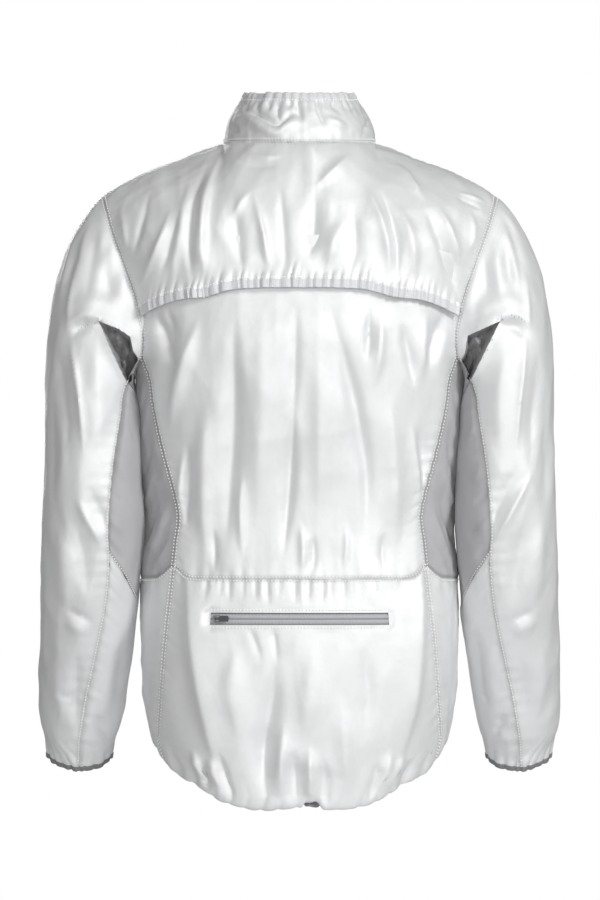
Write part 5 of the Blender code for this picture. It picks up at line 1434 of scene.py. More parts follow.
def add_piece(name, points, faces, uvs, finishes, slots=None, shaded=None):
    """A smooth mesh object in the jacket's frame; uvs hold one place for each point."""
    mesh = bpy.data.meshes.new(name)
    mesh.from_pydata(points.tolist(), [], faces.tolist() if hasattr(faces, "tolist") else faces)
    corners = np.empty(len(mesh.loops), np.int64)
    mesh.loops.foreach_get("vertex_index", corners)
    layer = mesh.uv_layers.new(name="spread")
    layer.data.foreach_set("uv", np.ascontiguousarray(uvs[corners]).ravel())
    for kind in finishes:
        mesh.materials.append(finish_of(kind))
    if slots is not None:
        mesh.polygons.foreach_set("material_index", slots)
    # The painted shade of each point, read by the finishes.
    if shaded is not None:
        mesh.attributes.new("shaded", "FLOAT", "POINT").data.foreach_set("value", shaded)
    mesh.shade_smooth()
    mesh.set_sharp_from_angle(angle=math.radians(60))
    made = bpy.data.objects.new(name, mesh)
    bpy.context.scene.collection.objects.link(made)
    return made


def shell(cloth, kinds, thickness):
    """The cloth as a closed thin wall: outer face, inner face and rim."""
    middle = cloth.surface()
    normals = grid_normals(middle) * cloth.sign
    rows, cols = middle.shape[:2]
    index = np.arange(rows * cols).reshape(rows, cols)
    quads = np.stack([index[:-1, :-1], index[:-1, 1:], index[1:, 1:], index[1:, :-1]], axis=-1)
    quads = quads[~cloth.hole]
    if cloth.sign < 0:
        quads = quads[:, ::-1]
    count = rows * cols
    inner = quads[:, ::-1] + count
    starts, ends = quads.ravel(), np.roll(quads, -1, axis=1).ravel()
    keys, back_keys = starts * count + ends, ends * count + starts
    open_edges = ~np.isin(keys, back_keys)
    a, b = starts[open_edges], ends[open_edges]
    rim = np.stack([b, a, a + count, b + count], axis=-1)
    flat, outward = middle.reshape(-1, 3), normals.reshape(-1, 3)
    points = np.concatenate([flat + outward * thickness / 2, flat - outward * thickness / 2])
    uvs = np.stack([cloth.across, cloth.upward], axis=-1).reshape(-1, 2)
    used = np.zeros(2 * count, bool)
    faces = np.concatenate([quads, inner, rim])
    used[faces.ravel()] = True
    renumber = np.cumsum(used) - 1
    slots = np.zeros(len(faces), np.int32)
    slots[len(quads):2 * len(quads)] = 1
    # Faces in the hollow under the arm take the third finish, the grey stretch: the insert's own colour, and
    # a stand-in for shade on the white sleeve cloth beside it.
    slots[:len(quads)][cloth.hollow_faces[~cloth.hole]] = 2
    return add_piece(cloth.name, points[used], renumber[faces], np.tile(uvs, (2, 1))[used], kinds, slots,
                     np.tile(cloth.shaded.ravel(), 2)[used])


def sew_in(piece, node=None):
    """Fastens a piece to the jacket's body, in place of its CAD node and with its slot if it has them."""
    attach(piece, "jacket")
    if node:
        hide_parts(node)
    return piece


def dress(cloth, node, kind, fullness=1.0):
    """Makes the cloth's mesh in place of its node, and states the flat size of its cut."""
    sizes = bpy.context.scene.jacket_sizes
    kinds = (kind, "reverse" if kind == "silver" else kind, "stretch")
    piece = shell(cloth, kinds[:3 if cloth.hollow_faces.any() else 2], sizes.cloth)
    sew_in(piece, node)
    flat, area = cloth.flat_size(fullness)
    min(area, flat[0] * flat[1])
    print(f"sheet {cloth.name}: {flat[0] * 1000:.0f} x {flat[1] * 1000:.0f} mm, {area:.4f} m2")
    return piece


def band(name, line, along, outward, size, closed, kind, gather=0.0, pitch=7 * MM, seed=0):
    """An elastic binding: a soft-edged strip that runs on from a cloth edge, finely gathered."""
    height, thickness = size
    steps = np.linalg.norm(np.diff(line, axis=0), axis=1)
    length = np.concatenate([[0], np.cumsum(steps)])
    wave = (gather_row(length, pitch, seed) - 0.5) * gather
    if closed:
        wave = wave * smoothstep(0, 12 * MM, length) * smoothstep(0, 12 * MM, length[-1] - length)
    around = np.linspace(0, 2 * math.pi, 21)[:-1]
    section_up = 0.5 - 0.5 * np.sign(np.cos(around)) * np.abs(np.cos(around)) ** 0.55
    section_out = np.sign(np.sin(around)) * np.abs(np.sin(around)) ** 0.45 / 2
    points = (line[:, None] + along[:, None] * (section_up * height)[None, :, None]
              + outward[:, None] * (section_out * thickness)[None, :, None]
              + outward[:, None] * wave[:, None, None])
    if closed:
        points = points[:-1]
    rows, cols = points.shape[:2]
    index = np.arange(rows * cols).reshape(rows, cols)
    if closed:
        index = np.concatenate([index, index[:1]])
    right = np.roll(index, -1, axis=1)
    faces = np.stack([index[:-1], index[1:], right[1:], right[:-1]], axis=-1).reshape(-1, 4)
    uvs = np.stack(np.broadcast_arrays(length[:rows, None], section_up[None] * height), axis=-1)
    made = faces.tolist()
    if not closed:
        made += [index[0].tolist()[::-1], index[-1].tolist()]
    flat = points.reshape(-1, 3)
    first = flat[np.array(faces[:, :3])]
    tilt = np.cross(first[:, 1] - first[:, 0], first[:, 2] - first[:, 0])
    middle = (line + along * height / 2)[:rows]
    centres = flat[faces].mean(axis=1) - np.repeat(middle[:len(faces) // cols], cols, axis=0)
    if np.sum(tilt * centres) < 0:
        made = [face[::-1] for face in made]
    return add_piece(name, flat, made, uvs.reshape(-1, 2), (kind,))


# What repeats along a line: stitches and zip teeth --------------------------------------------------

STITCH_SIZE = (1.5 * MM, 1.3 * MM)  # width and height
BAR_TACK_PITCH = 1.3 * MM
BAR_TACK_SIZE = (1.1 * MM, 2.2 * MM, 1.4 * MM)  # length, width and height of each of its stitches
TOOTH_PITCH = 1.25 * MM
TOOTH_SIZE = (1.0 * MM, COIL, COIL_THICK)
CORD_SIZE = (1.6 * MM, 0.9 * MM)


def repeat_tree():
    """Geometry Nodes: small rounded beads along a line, turned with it, at an even pitch."""
    tree = bpy.data.node_groups.new("beads_along_line", "GeometryNodeTree")
    tree.interface.new_socket("Line", in_out="INPUT", socket_type="NodeSocketGeometry")
    for label, default in (("Pitch", 3 * MM), ("Length", 2 * MM), ("Width", 0.5 * MM), ("Height", 0.4 * MM)):
        made = tree.interface.new_socket(label, in_out="INPUT", socket_type="NodeSocketFloat")
        made.default_value = default
        made.subtype = "DISTANCE"
    tree.interface.new_socket("Finish", in_out="INPUT", socket_type="NodeSocketMaterial")
    tree.interface.new_socket("Beads", in_out="OUTPUT", socket_type="NodeSocketGeometry")
    nodes, links = tree.nodes, tree.links
    inputs, outputs = nodes.new("NodeGroupInput"), nodes.new("NodeGroupOutput")
    curve = nodes.new("GeometryNodeMeshToCurve")
    resample = nodes.new("GeometryNodeResampleCurve")
    resample.mode = "LENGTH"
    bead = nodes.new("GeometryNodeMeshUVSphere")
    bead.inputs["Segments"].default_value = 6
    bead.inputs["Rings"].default_value = 4
    bead.inputs["Radius"].default_value = 0.5
    turned = nodes.new("GeometryNodeTransform")
    turned.inputs["Rotation"].default_value = (0.0, math.pi / 2, 0.0)
    sizes = nodes.new("ShaderNodeCombineXYZ")
    tangent = nodes.new("GeometryNodeInputTangent")
    outward = nodes.new("GeometryNodeInputNamedAttribute")
    outward.data_type = "FLOAT_VECTOR"
    outward.inputs["Name"].default_value = "outward"
    first = nodes.new("FunctionNodeAlignRotationToVector")
    first.axis = "X"
    second = nodes.new("FunctionNodeAlignRotationToVector")
    second.axis = "Z"
    second.pivot_axis = "X"
    place = nodes.new("GeometryNodeInstanceOnPoints")
    realize = nodes.new("GeometryNodeRealizeInstances")
    finish = nodes.new("GeometryNodeSetMaterial")
    for start, end in (
        (inputs.outputs["Line"], curve.inputs["Mesh"]),
        (curve.outputs["Curve"], resample.inputs["Curve"]),
        (inputs.outputs["Pitch"], resample.inputs["Length"]),
        (bead.outputs["Mesh"], turned.inputs["Geometry"]),
        (inputs.outputs["Length"], sizes.inputs["X"]),
        (inputs.outputs["Width"], sizes.inputs["Y"]),
        (inputs.outputs["Height"], sizes.inputs["Z"]),
        (tangent.outputs["Tangent"], first.inputs["Vector"]),
        (first.outputs["Rotation"], second.inputs["Rotation"]),
        (outward.outputs["Attribute"], second.inputs["Vector"]),
        (resample.outputs["Curve"], place.inputs["Points"]),
        (turned.outputs["Geometry"], place.inputs["Instance"]),
        (second.outputs["Rotation"], place.inputs["Rotation"]),
        (sizes.outputs["Vector"], place.inputs["Scale"]),
        (place.outputs["Instances"], realize.inputs["Geometry"]),
        (realize.outputs["Geometry"], finish.inputs["Geometry"]),
        (inputs.outputs["Finish"], finish.inputs["Material"]),
        (finish.outputs["Geometry"], outputs.inputs["Beads"]),
    ):
        links.new(start, end)
    return tree


def beads(name, lines, kind, pitch, length, width, height, lift=0.0):
    """One mesh of beads along several lines, each given as points and outward directions."""
    points, outward, edges = [], [], []
    for line, normals in lines:
        start = sum(map(len, points))
        points.append(line + normals * lift)
        outward.append(normals)
        edges += [(start + i, start + i + 1) for i in range(len(line) - 1)]
    mesh = bpy.data.meshes.new(name + "_lines")
    mesh.from_pydata(np.concatenate(points).tolist(), edges, [])
    attribute = mesh.attributes.new("outward", "FLOAT_VECTOR", "POINT")
    attribute.data.foreach_set("vector", np.concatenate(outward).ravel())
    guide = bpy.data.objects.new(name + "_lines", mesh)
    bpy.context.scene.collection.objects.link(guide)
    tree = bpy.data.node_groups.get("beads_along_line") or repeat_tree()
    modifier = guide.modifiers.new("beads", "NODES")
    modifier.node_group = tree
    settings = {"Pitch": pitch, "Length": length, "Width": width, "Height": height, "Finish": finish_of(kind)}
    for item in tree.interface.items_tree:
        if item.item_type == "SOCKET" and item.in_out == "INPUT" and item.name in settings:
            modifier[item.identifier] = settings[item.name]
    bpy.context.view_layer.update()
    graph = bpy.context.evaluated_depsgraph_get()
    made_mesh = bpy.data.meshes.new_from_object(guide.evaluated_get(graph))
    made_mesh.name = name
    made = bpy.data.objects.new(name, made_mesh)
    bpy.context.scene.collection.objects.link(made)
    bpy.data.objects.remove(guide, do_unlink=True)
    made_mesh.shade_smooth()
    return made


def stitches(name, cloth, rows, kind="thread", lines=()):
    """Rows of lock stitches half sunk in the cloth, each an edge and an inset, perhaps with a start and an
    end, and other lines as they are."""
    sizes = bpy.context.scene.jacket_sizes
    rows = [cloth.path(*row) for row in rows]
    sewn = beads(name, rows + list(lines), kind, sizes.stitch_pitch, sizes.stitch_pitch * 0.55, *STITCH_SIZE,
                 lift=sizes.cloth * 0.7)
    return sew_in(sewn)


def mirrored_pair(make, *details):
    """The left piece as made, and the same cut mirrored for the right, each after its side's name."""
    left = make(*details)
    return ("left", left), ("right", left.mirrored(left.name.replace("left", "right")))


# Making each group of pieces ------------------------------------------------------------------------

STITCH_INSET = 2.4 * MM  # from a seam to the stitches beside it
# Widths as cut over widths as worn: what the creases and gathers take up.
FULLNESS = {"yoke": 1.04, "lower": 1.08, "front": 1.02, "collar": 1.1, "outer": 1.05, "under": 1.05}
CLOTHS = {}  # finished cloths, for the bindings that follow their edges


def make_yoke():
    cloth = CLOTHS["yoke"] = yoke_cloth()
    sewn = stitches("yoke_stitches", cloth, [
        ("bottom", 2.0 * MM), ("first", 3.0 * MM), ("last", 3.0 * MM), ("top", STITCH_INSET),
    ])
    dress(cloth, "back_yoke", "silver", fullness=FULLNESS["yoke"])


def make_back():
    cloth = back_cloth()
    sewn = stitches("back_stitches", cloth, [
        ("bottom", 2.2 * MM), ("first", STITCH_INSET, 0.0, 0.82), ("last", STITCH_INSET, 0.0, 0.82),
    ])
    dress(cloth, "back_panel", "silver")


def pocket_outline():
    """The topstitching round the pocket's zip: points and outward directions."""
    reach, low, high = POCKET_HALF_WIDTH + 3 * MM, POCKET_BOTTOM_Z - 3 * MM, POCKET_TOP_Z + 3 * MM
    xs = np.linspace(-reach, reach, 100)
    zs = np.linspace(low, high, 10)
    x = np.concatenate([xs, np.full(8, reach), xs[::-1], np.full(9, -reach)])
    z = np.concatenate([np.full(100, low), zs[1:-1], np.full(100, high), zs[::-1][1:]])
    points = skin(x, z, False)
    outward = unit(np.cross(skin(x + MM, z, False) - points, skin(x, z + MM, False) - points))
    outward *= np.sign(outward[:, 1:2])
    return points + outward * 0.45 * MM, outward


def make_lower():
    cloth = CLOTHS["lower"] = lower_cloth()
    rows = [("top", 2.2 * MM), ("first", STITCH_INSET), ("last", STITCH_INSET)]
    sewn = stitches("lower_stitches", cloth, rows, lines=[pocket_outline()])
    dress(cloth, "back_lower", "silver", fullness=FULLNESS["lower"])


def flap_seam_sink(cloth):
    """The side panel follows the back panel's edge, which lies a little below the skin at the armhole."""
    height = cloth.base[..., 2]
    at_edge = FLAP_STAND * smoothstep(YOKE_END_Z - 34 * MM, YOKE_END_Z - 10 * MM, height)
    return at_edge * np.exp(-cloth.across / (10 * MM)) * cloth.calm(6 * MM, "top")


def make_sides():
    for side, cloth in mirrored_pair(side_cloth):
        calm = cloth.calm(7 * MM, "first", "last", "top", "bottom")
        press(cloth, SIDE_FOLDS, factor=calm)
        cloth.wrinkle(30 * MM, 0.7 * MM, 8, calm, (1.0, 1.0, 0.9))
        cloth.swell(2.0 * MM, (-400 * MM, -350 * MM), (-290 * MM, -262 * MM), calm)
        cloth.raise_by(-flap_seam_sink(cloth))
        cloth.sew(first="back_" + side, last="front_side", bottom="side_waist", top="underarm")
        sewn = stitches("side_stitches_" + side, cloth, [(edge, STITCH_INSET) for edge in ("first", "last")])
        dress(cloth, "side_panel_" + side, "stretch")
    for side, cloth in mirrored_pair(side_lower_cloth):
        calm = cloth.calm(7 * MM, "first", "last", "top")
        cloth.gather("bottom", pitch=16 * MM, seed=91, height=1.8 * MM, reach=26 * MM, level=HEM_GATHER_LEVEL,
                     factor=calm)
        cloth.wrinkle(34 * MM, WRINKLE_HEIGHT, 9, calm)
        cloth.sew(first="lower_" + side, last="lower_front", top="side_waist")
        edges = ("first", "last", "top")
        sewn = stitches("side_lower_stitches_" + side, cloth, [(edge, STITCH_INSET) for edge in edges])
        CLOTHS["side_lower_" + side] = cloth
        dress(cloth, "side_lower_" + side, "silver")


def make_fronts():
    for (side, cloth), seed in zip(mirrored_pair(front_cloth), (10, 11)):
        calm = cloth.calm(9 * MM, "first", "last") * cloth.calm(8 * MM, "top")
        press(cloth, FRONT_FOLDS, side=-1, factor=calm)
        cloth.gather("bottom", pitch=15 * MM, seed=93, height=2.0 * MM, reach=28 * MM, level=HEM_GATHER_LEVEL,
                     factor=calm)
        cloth.wrinkle(46 * MM, WRINKLE_HEIGHT, seed, calm)
        cloth.sew(last="front_edge", top="shoulder")
        sewn = stitches("front_stitches_" + side, cloth, [
            ("first", 2.0 * MM), ("first", 6.5 * MM), ("last", STITCH_INSET), ("top", STITCH_INSET),
        ])
        CLOTHS["front_" + side] = cloth
        dress(cloth, "front_" + side, "silver", fullness=FULLNESS["front"])


def make_collar():
    cloth = CLOTHS["collar"] = collar_cloth()
    sewn = stitches("collar_stitches", cloth, [("bottom", 1.8 * MM), ("bottom", 4.6 * MM), ("top", 1.8 * MM)])
    dress(cloth, "collar", "silver", fullness=FULLNESS["collar"])


def fold_sleeve(cloth, part, side, number):
    """The creases, the wrinkles, the hollow under the arm and the gathers at the cuff."""
    left = side == "left"
    calm = cloth.calm(5 * MM, "first", "last")
    if part != "under":
        calm = calm * smoothstep(SEAM_ALLOWANCE, SEAM_ALLOWANCE + 6 * MM, cloth.from_edge("top"))
    press(cloth, SLEEVE_LEFT_FOLDS if left else SLEEVE_RIGHT_FOLDS, factor=calm, strength=FOLD_STRENGTH)
    press(cloth, SLEEVE_FRONT_FOLDS if left else mirrored_folds(SLEEVE_FRONT_FOLDS), side=-1, factor=calm)
    cloth.wrinkle(44 * MM, 0.7 * MM, 12 + number, calm, (1.0, 1.0, 0.3))
    if part == "insert":
        press(cloth, INSERT_FOLDS, factor=calm)
        cloth.swell(3.0 * MM, (-400 * MM, -340 * MM), (-285 * MM, -255 * MM), calm)
    if part != "under":
        sink_hollow(cloth, HOLLOW_LEFT if left else HOLLOW_RIGHT, HOLLOW_DEPTH)
    if part != "insert":
        cloth.gather("bottom", pitch=13 * MM, seed=95 + number, height=3.4 * MM, reach=19 * MM, fall=1.6,
                     level=0.45, factor=cloth.calm(4 * MM, "first", "last"))


def make_sleeves():
    for number, (part, make, kind, sewn_edges) in enumerate((
        ("outer", sleeve_outer_cloth, "silver", ("first", "last", "top")),
        ("insert", sleeve_insert_cloth, "stretch", ("top", "bottom")),
        ("under", sleeve_under_cloth, "silver", ()),
    )):
        for side, cloth in mirrored_pair(make):
            fold_sleeve(cloth, part, side, number)
            cloth.sew(first="sleeve_back", last="sleeve_front")
            if part != "under":
                away = cloth.from_edge("top") - SEAM_ALLOWANCE
                cloth.raise_by(-0.9 * MM * np.exp(-((away / (1.8 * MM)) ** 2)))
                # The armhole seam's painted shade: in its groove and beside its stitching.
                cloth.shade_seam(away)
            if part != "outer":
                cloth.sew(**{"bottom" if part == "insert" else "top": "insert_tip"})
            rows = [(edge, 1.8 * MM + SEAM_ALLOWANCE * (edge == "top")) for edge in sewn_edges]
            extras = [stitches(f"sleeve_{part}_stitches_{side}", cloth, rows)] if rows else []
            CLOTHS[f"sleeve_{part}_{side}"] = cloth
            dress(cloth, f"sleeve_{part}_{side}", kind, fullness=FULLNESS.get(part, 1.0))


def edge_frame(cloth, edge, sampled=3):
    """One edge of the finished cloth: points, the way on past the edge, and outward directions."""
    surface = cloth.surface()
    if edge == "top":
        surface = surface[::-1]
    normals = grid_normals(surface) * cloth.sign * (-1 if edge == "top" else 1)
    return surface[0], unit(surface[0] - surface[sampled]), normals[1]


def ring_of(parts):
    """Edges of neighbouring cloths joined into one line; each part is (frame, reversed)."""
    joined = []
    for number in range(3):
        lines = [frame_part[number][::-1] if backward else frame_part[number]
                 for frame_part, backward in parts]
        joined.append(np.concatenate([lines[0]] + [line[1:] for line in lines[1:]]))
    line, *directions = joined
    along, outward = (unit(np.stack([smoothed(each[:, axis], np.ones(9)) for axis in range(3)], axis=-1))
                      for each in directions)
    return line, along, outward


def bind(name, cloths, node, size, kind, edge="bottom", closed=False, keep=slice(None), **gathers):
    """An elastic binding along one edge of the named cloths, in place of its node."""
    frames = [(edge_frame(CLOTHS[cloth], edge), False) for cloth in cloths]
    line, along, outward = (each[keep] for each in ring_of(frames))
    sew_in(band(name, line, along, outward, size, closed, kind, **gathers), node)
    return line, along, outward


def make_bindings():
    line, along, outward = bind("yoke_elastic", ["yoke"], "yoke_binding", YOKE_BAND, "pale_elastic",
                                keep=slice(2, -2), gather=0.9 * MM, pitch=11.5 * MM, seed=21)
    tacks = []
    for x in BAR_TACKS:
        at = np.argmin(np.abs(line[:, 0] - x))
        rise = np.linspace(0, YOKE_BAND[0], 12)[:, None]
        tacks.append((line[at] + along[at] * rise + outward[at] * YOKE_BAND[1] / 2,
                      np.broadcast_to(outward[at], (12, 3))))
    sewn = beads("yoke_bar_tacks", tacks, "thread", BAR_TACK_PITCH, *BAR_TACK_SIZE, lift=0.6 * MM)
    sew_in(sewn)
    bind("collar_elastic", ["collar"], "collar_binding", COLLAR_BAND, "pale_elastic", edge="top",
         gather=0.7 * MM, pitch=8 * MM, seed=23)
    for side in ("left", "right"):
        cloths = [f"sleeve_{part}_{side}" for part in ("outer", "under")]
        bind("cuff_elastic_" + side, cloths, "cuff_binding_" + side, CUFF_BAND, "dark_elastic", closed=True,
             gather=0.8 * MM, pitch=6 * MM, seed=25)
    line, along, outward = ring_of([(edge_frame(CLOTHS[name], "bottom"), backward) for name, backward in (
        ("front_left", False), ("side_lower_left", True), ("lower", True), ("side_lower_right", False),
        ("front_right", True),
    )])
    line[:, 2] -= 1.7 * NOTCH_RISE * hem_notch(line[:, 0]) * (line[:, 1] > 0)
    sew_in(band("hem_elastic", line, along, outward, HEM_BAND, False, "dark_elastic",
                gather=0.8 * MM, pitch=8 * MM, seed=27), "hem_binding")


TAPE_STITCHES = 4.6 * MM  # from the slit between the tapes to the stitches on each
TAPE_MOUTH = 6.5 * MM  # from the slit to the edge of the cloth, whose shadow is painted on the tape


def zip_bump(away):
    """The coil's ridge under a zip tape, beside the slit where the two tapes meet."""
    return 0.9 * MM * np.exp(-(((away - 2.4 * MM) / (1.7 * MM)) ** 2))


def make_coil(zip_name, line, across, outward, sink=0.0):
    """A zip's teeth and the cord that runs through them, behind the tapes."""
    behind = line - outward * (COIL_SINK - 0.4 * MM + np.asarray(sink)[..., None])
    teeth = beads(zip_name + "_zip_coil", [(behind, outward)], "coil", TOOTH_PITCH, *TOOTH_SIZE)
    sew_in(teeth, zip_name + "_coil")
    edge = behind - across * CORD_SIZE[0] / 2
    sew_in(band(zip_name + "_zip_cord", edge, across, outward, CORD_SIZE, False, "coil"))


def make_pocket_zip():
    middle = (POCKET_TOP_Z + POCKET_BOTTOM_Z) / 2
    reach = POCKET_HALF_WIDTH + TAPE_COVER
    for part, low, high, seam in (("upper", middle, POCKET_TOP_Z + TAPE_COVER, "bottom"),
                                  ("lower", POCKET_BOTTOM_Z - TAPE_COVER, middle, "top")):
        x, z = np.meshgrid(np.linspace(-reach, reach, 121), np.linspace(low, high, 17))
        cloth = Cloth(f"pocket_zip_tape_{part}", skin(x, z, False))
        cloth.raise_by(zip_bump(cloth.from_edge(seam)) - TAPE_SINK)
        # Painted shade on the tape: the shadow of the cloth's edge, and a dark line along the slit between
        # the tapes.
        cloth.shade_line(cloth.from_edge(seam) - TAPE_MOUTH - 0.1 * MM, 1.3 * MM, 0.9)
        cloth.shade_line(cloth.from_edge(seam), 0.7 * MM)
        sewn = stitches(f"pocket_zip_stitches_{part}", cloth, [(seam, TAPE_STITCHES, 0.03, 0.97)], "coil")
        dress(cloth, f"pocket_tape_{part}", "tape")
    x = np.linspace(-reach + MM, reach - MM, 120)
    line, above = skin(x, middle, False), skin(x, middle + MM, False)
    upward = unit(above - line)
    outward = unit(np.cross(upward, np.gradient(line, axis=0)))
    make_coil("pocket", line, upward, outward)
    carry_over(("pocket_slider", "metal"), ("pocket_pull", "rubber"))


def carry_over(*nodes):
    """Keeps the CAD's own meshes and gives them new materials."""
    for node, kind in nodes:
        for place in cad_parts[node].material_slots:
            place.material = finish_of(kind)


def front_zip_rows(x):
    """Rows up the front zip for columns x: up the body's skin, then up the collar."""
    heights = CLOTHS["front_left"].base[HEM_ROWS - 1:, 0, 2]
    climbs = stations(0, 1, 0.05)[1:]
    turns = math.pi - np.arcsin(x / NECK_HALF_WIDTH)
    body = [skin(x, height, True) for height in heights]
    neck = [collar_point(turns, climb) for climb in climbs]
    sink = np.concatenate([
        NECK_TAPE_SINK * smoothstep(-25 * MM, 0, heights - heights[-1]),
        NECK_TAPE_SINK * (1 - smoothstep(0.5, 0.75, climbs)),
    ])
    return np.array(body + neck), sink


def make_front_zip():
    points, sink = front_zip_rows(np.linspace(SEAM_GAP / 2, ZIP_HALF_GAP + TAPE_COVER, 9))
    for side, cloth in mirrored_pair(Cloth, "front_zip_tape_left", points):
        cloth.raise_by(zip_bump(cloth.from_edge("first")) - TAPE_SINK - sink[:, None])
        # Painted shadow of the cloth's edge on the tape.
        cloth.shade_line(cloth.from_edge("first") - TAPE_MOUTH + 0.1 * MM, 1.2 * MM, 0.8)
        sewn = stitches(f"front_zip_stitches_{side}", cloth, [("first", TAPE_STITCHES, 0.02, 0.98)], "coil")
        dress(cloth, f"front_tape_{side}", "tape")
    rows, sink = front_zip_rows(np.array([0.0]))
    line = rows[:, 0]
    across = np.broadcast_to([1.0, 0.0, 0.0], line.shape)
    outward = unit(np.cross(across, np.gradient(line, axis=0)))
    make_coil("front", line, across, outward, sink)
    carry_over(("front_slider", "metal"), ("front_pull", "rubber"))


# Stage --------------------------------------------------------------------------------------------

VIEW_HEIGHT = 900 * CHART_UNIT  # height that the picture shows at the jacket
VIEW_CENTRE = ((CHART_MIDDLE - 300) * CHART_UNIT, (CHART_SHOULDER - 450) * CHART_UNIT)
VIEW_DEPTH = 40 * MM  # the depth at which the picture's scale holds
LENS = 300.0
SENSOR = 36.0
FLOOR_Z = -1.30
FLOOR_RADIUS = 1.15


def plain_finish(name, colour, roughness):
    finish = Finish(name)
    finish.set(Base_Color=(*colour, 1.0), Roughness=roughness)
    return finish.material


def make_stage():
    scene = bpy.context.scene
    camera = bpy.data.objects.new("camera", bpy.data.cameras.new("camera"))
    scene.collection.objects.link(camera)
    camera.data.lens = LENS
    camera.data.sensor_width = SENSOR
    camera.data.clip_end = 100.0
    distance = VIEW_HEIGHT * LENS / SENSOR
    camera.location = (VIEW_CENTRE[0], VIEW_DEPTH + distance, VIEW_CENTRE[1])
    camera.rotation_euler = (math.pi / 2, 0.0, math.pi)
    scene.camera = camera
    for name, place, aim, size, power in (
        ("key_light", (-2.7, 3.3, 1.6), (0.0, 0.0, -0.35), 1.1, 112.0),
        ("view_light", (0.2, 5.2, 0.1), (0.0, 0.0, -0.35), 1.6, 92.0),
        ("front_light", (1.1, -4.2, 0.5), (0.0, 0.0, -0.35), 1.6, 75.0),
    ):
        data = bpy.data.lights.new(name, "AREA")
        data.size = size
        data.energy = power
        lamp = bpy.data.objects.new(name, data)
        scene.collection.objects.link(lamp)
        lamp.location = place
        lamp.rotation_euler = (Vector(aim) - Vector(place)).to_track_quat("-Z", "Y").to_euler()
    scene.view_settings.view_transform = "Standard"
    world = bpy.data.worlds.new("studio")
    world.use_nodes = True
    scene.world = world
    tree = world.node_tree
    ground = tree.nodes["Background"]
    ground.inputs["Color"].default_value = (1.0, 1.0, 1.0, 1.0)
    paths = tree.nodes.new("ShaderNodeLightPath")
    strength = tree.nodes.new("ShaderNodeMapRange")
    strength.inputs["To Min"].default_value = 0.25
    strength.inputs["To Max"].default_value = 1.0
    tree.links.new(paths.outputs["Is Camera Ray"], strength.inputs["Value"])
    tree.links.new(strength.outputs[0], ground.inputs["Strength"])
    bpy.ops.mesh.primitive_circle_add(vertices=96, radius=FLOOR_RADIUS, fill_type="NGON",
                                      location=(0, 0, FLOOR_Z))
    floor = bpy.context.object
    floor.name = "floor"
    floor.data.materials.append(plain_finish("pale_floor", (0.85, 0.85, 0.86), 0.9))


# Panel and operators ------------------------------------------------------------------------------


def tone(name, description, colour):
    return FloatVectorProperty(name=name, description=description, default=colour, size=3, min=0.0, max=1.0,
                               subtype="COLOR")


class JacketSizes(bpy.types.PropertyGroup):
    """Sizes a user may change before the pieces are made."""
    cloth: FloatProperty(name="Cloth thickness", description="Thickness of the cloth's wall", default=0.0007,
                         min=0.0002, max=0.002, unit="LENGTH", precision=5)
    stitch_pitch: FloatProperty(name="Stitch pitch", description="Distance from stitch to stitch",
                                default=0.0037, min=0.0015, max=0.008, unit="LENGTH", precision=4)


class JacketTones(bpy.types.PropertyGroup):
    """Colours of the jacket's finishes."""
    silver: tone("Silver cloth", "Colour of the coated cloth", (0.83, 0.835, 0.84))
    reverse: tone("Reverse", "Colour of the coated cloth's inner side", (0.50, 0.51, 0.53))
    stretch: tone("Stretch cloth", "Colour of the knitted side and underarm panels", (0.45, 0.45, 0.46))
    pale_elastic: tone("Pale elastic", "Colour of the yoke's and collar's binding", (0.74, 0.745, 0.76))
    dark_elastic: tone("Dark elastic", "Colour of the cuffs' and hem's elastic", (0.22, 0.22, 0.225))
    tape: tone("Zip tape", "Colour of the zips' tape and coil", (0.50, 0.51, 0.53))
    metal: tone("Sliders", "Colour of the zip sliders", (0.42, 0.43, 0.45))
    rubber: tone("Pull tabs", "Colour of the pull tabs", (0.07, 0.07, 0.08))
    thread: tone("Thread", "Colour of the sewing thread", (1.0, 1.0, 1.0))


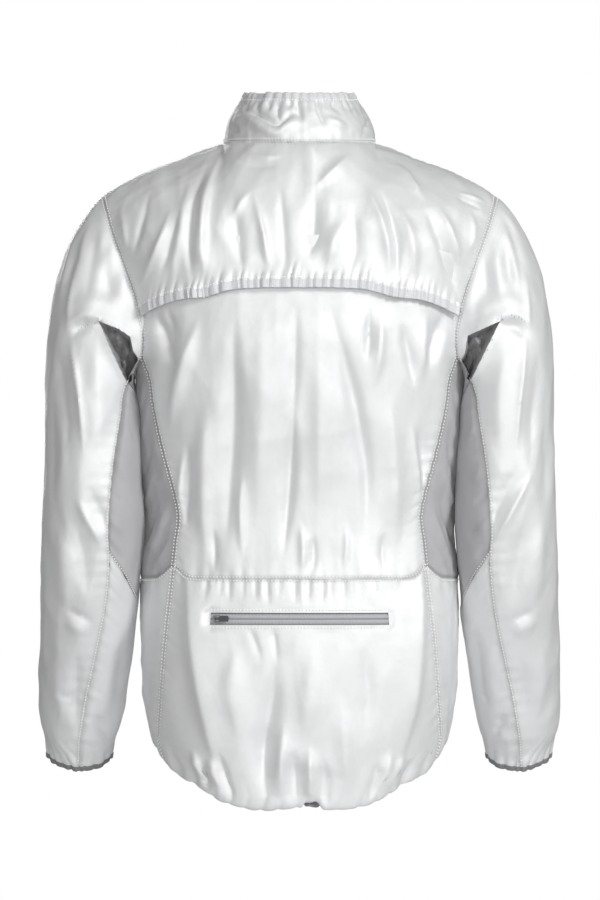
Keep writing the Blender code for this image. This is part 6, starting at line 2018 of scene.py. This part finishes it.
def operator(name, label, summary, make):
    """An operator that makes one group of pieces; an error in it stops the script."""

    def execute(self, context):
        make()
        return {"FINISHED"}

    return type("JACKET_OT_" + name, (bpy.types.Operator,), {
        "__doc__": summary, "bl_idname": "jacket." + name, "bl_label": label,
        "bl_options": {"REGISTER", "UNDO"}, "execute": execute,
    })


OPERATORS = (
    operator("stage", "Stage", "Set up the camera, the lights and the floor", make_stage),
    operator("yoke", "Back yoke", "Make the upper back, whose lower edge hangs free as a vent", make_yoke),
    operator("back", "Back panel", "Make the back body panel", make_back),
    operator("lower", "Lower back", "Make the panel below the waist, with the pocket's cut", make_lower),
    operator("sides", "Sides", "Make the stretch side panels and the side pieces below them", make_sides),
    operator("fronts", "Fronts", "Make both fronts", make_fronts),
    operator("collar", "Collar", "Make the gathered stand collar", make_collar),
    operator("sleeves", "Sleeves", "Make the sleeves with their stretch inserts", make_sleeves),
    operator("bindings", "Bindings", "Make the bindings of yoke, collar, cuffs and hem", make_bindings),
    operator("pocket_zip", "Pocket zip", "Make the back pocket's zip", make_pocket_zip),
    operator("front_zip", "Front zip", "Make the front zip", make_front_zip),
)


class JACKET_PT_panel(bpy.types.Panel):
    """Lists the jacket's sizes, colours and pieces."""
    bl_label = "Reflective jacket"
    bl_idname = "JACKET_PT_panel"
    bl_space_type = "VIEW_3D"
    bl_region_type = "UI"
    bl_category = "Jacket"

    def draw(self, context):
        for settings in (context.scene.jacket_sizes, context.scene.jacket_tones):
            for name in settings.bl_rna.properties.keys():
                if name not in ("rna_type", "name"):
                    self.layout.prop(settings, name)
        for each in OPERATORS:
            self.layout.operator(each.bl_idname)


CLASSES = (JacketSizes, JacketTones, *OPERATORS, JACKET_PT_panel)


def register():
    for each in CLASSES:
        bpy.utils.register_class(each)
    bpy.types.Scene.jacket_sizes = PointerProperty(type=JacketSizes)
    bpy.types.Scene.jacket_tones = PointerProperty(type=JacketTones)


def unregister():
    del bpy.types.Scene.jacket_tones
    del bpy.types.Scene.jacket_sizes
    for each in reversed(CLASSES):
        bpy.utils.unregister_class(each)


def main():
    register()
    for each in OPERATORS:
        getattr(bpy.ops.jacket, each.bl_idname.split(".")[1])()


if __name__ == "__main__":
    main()
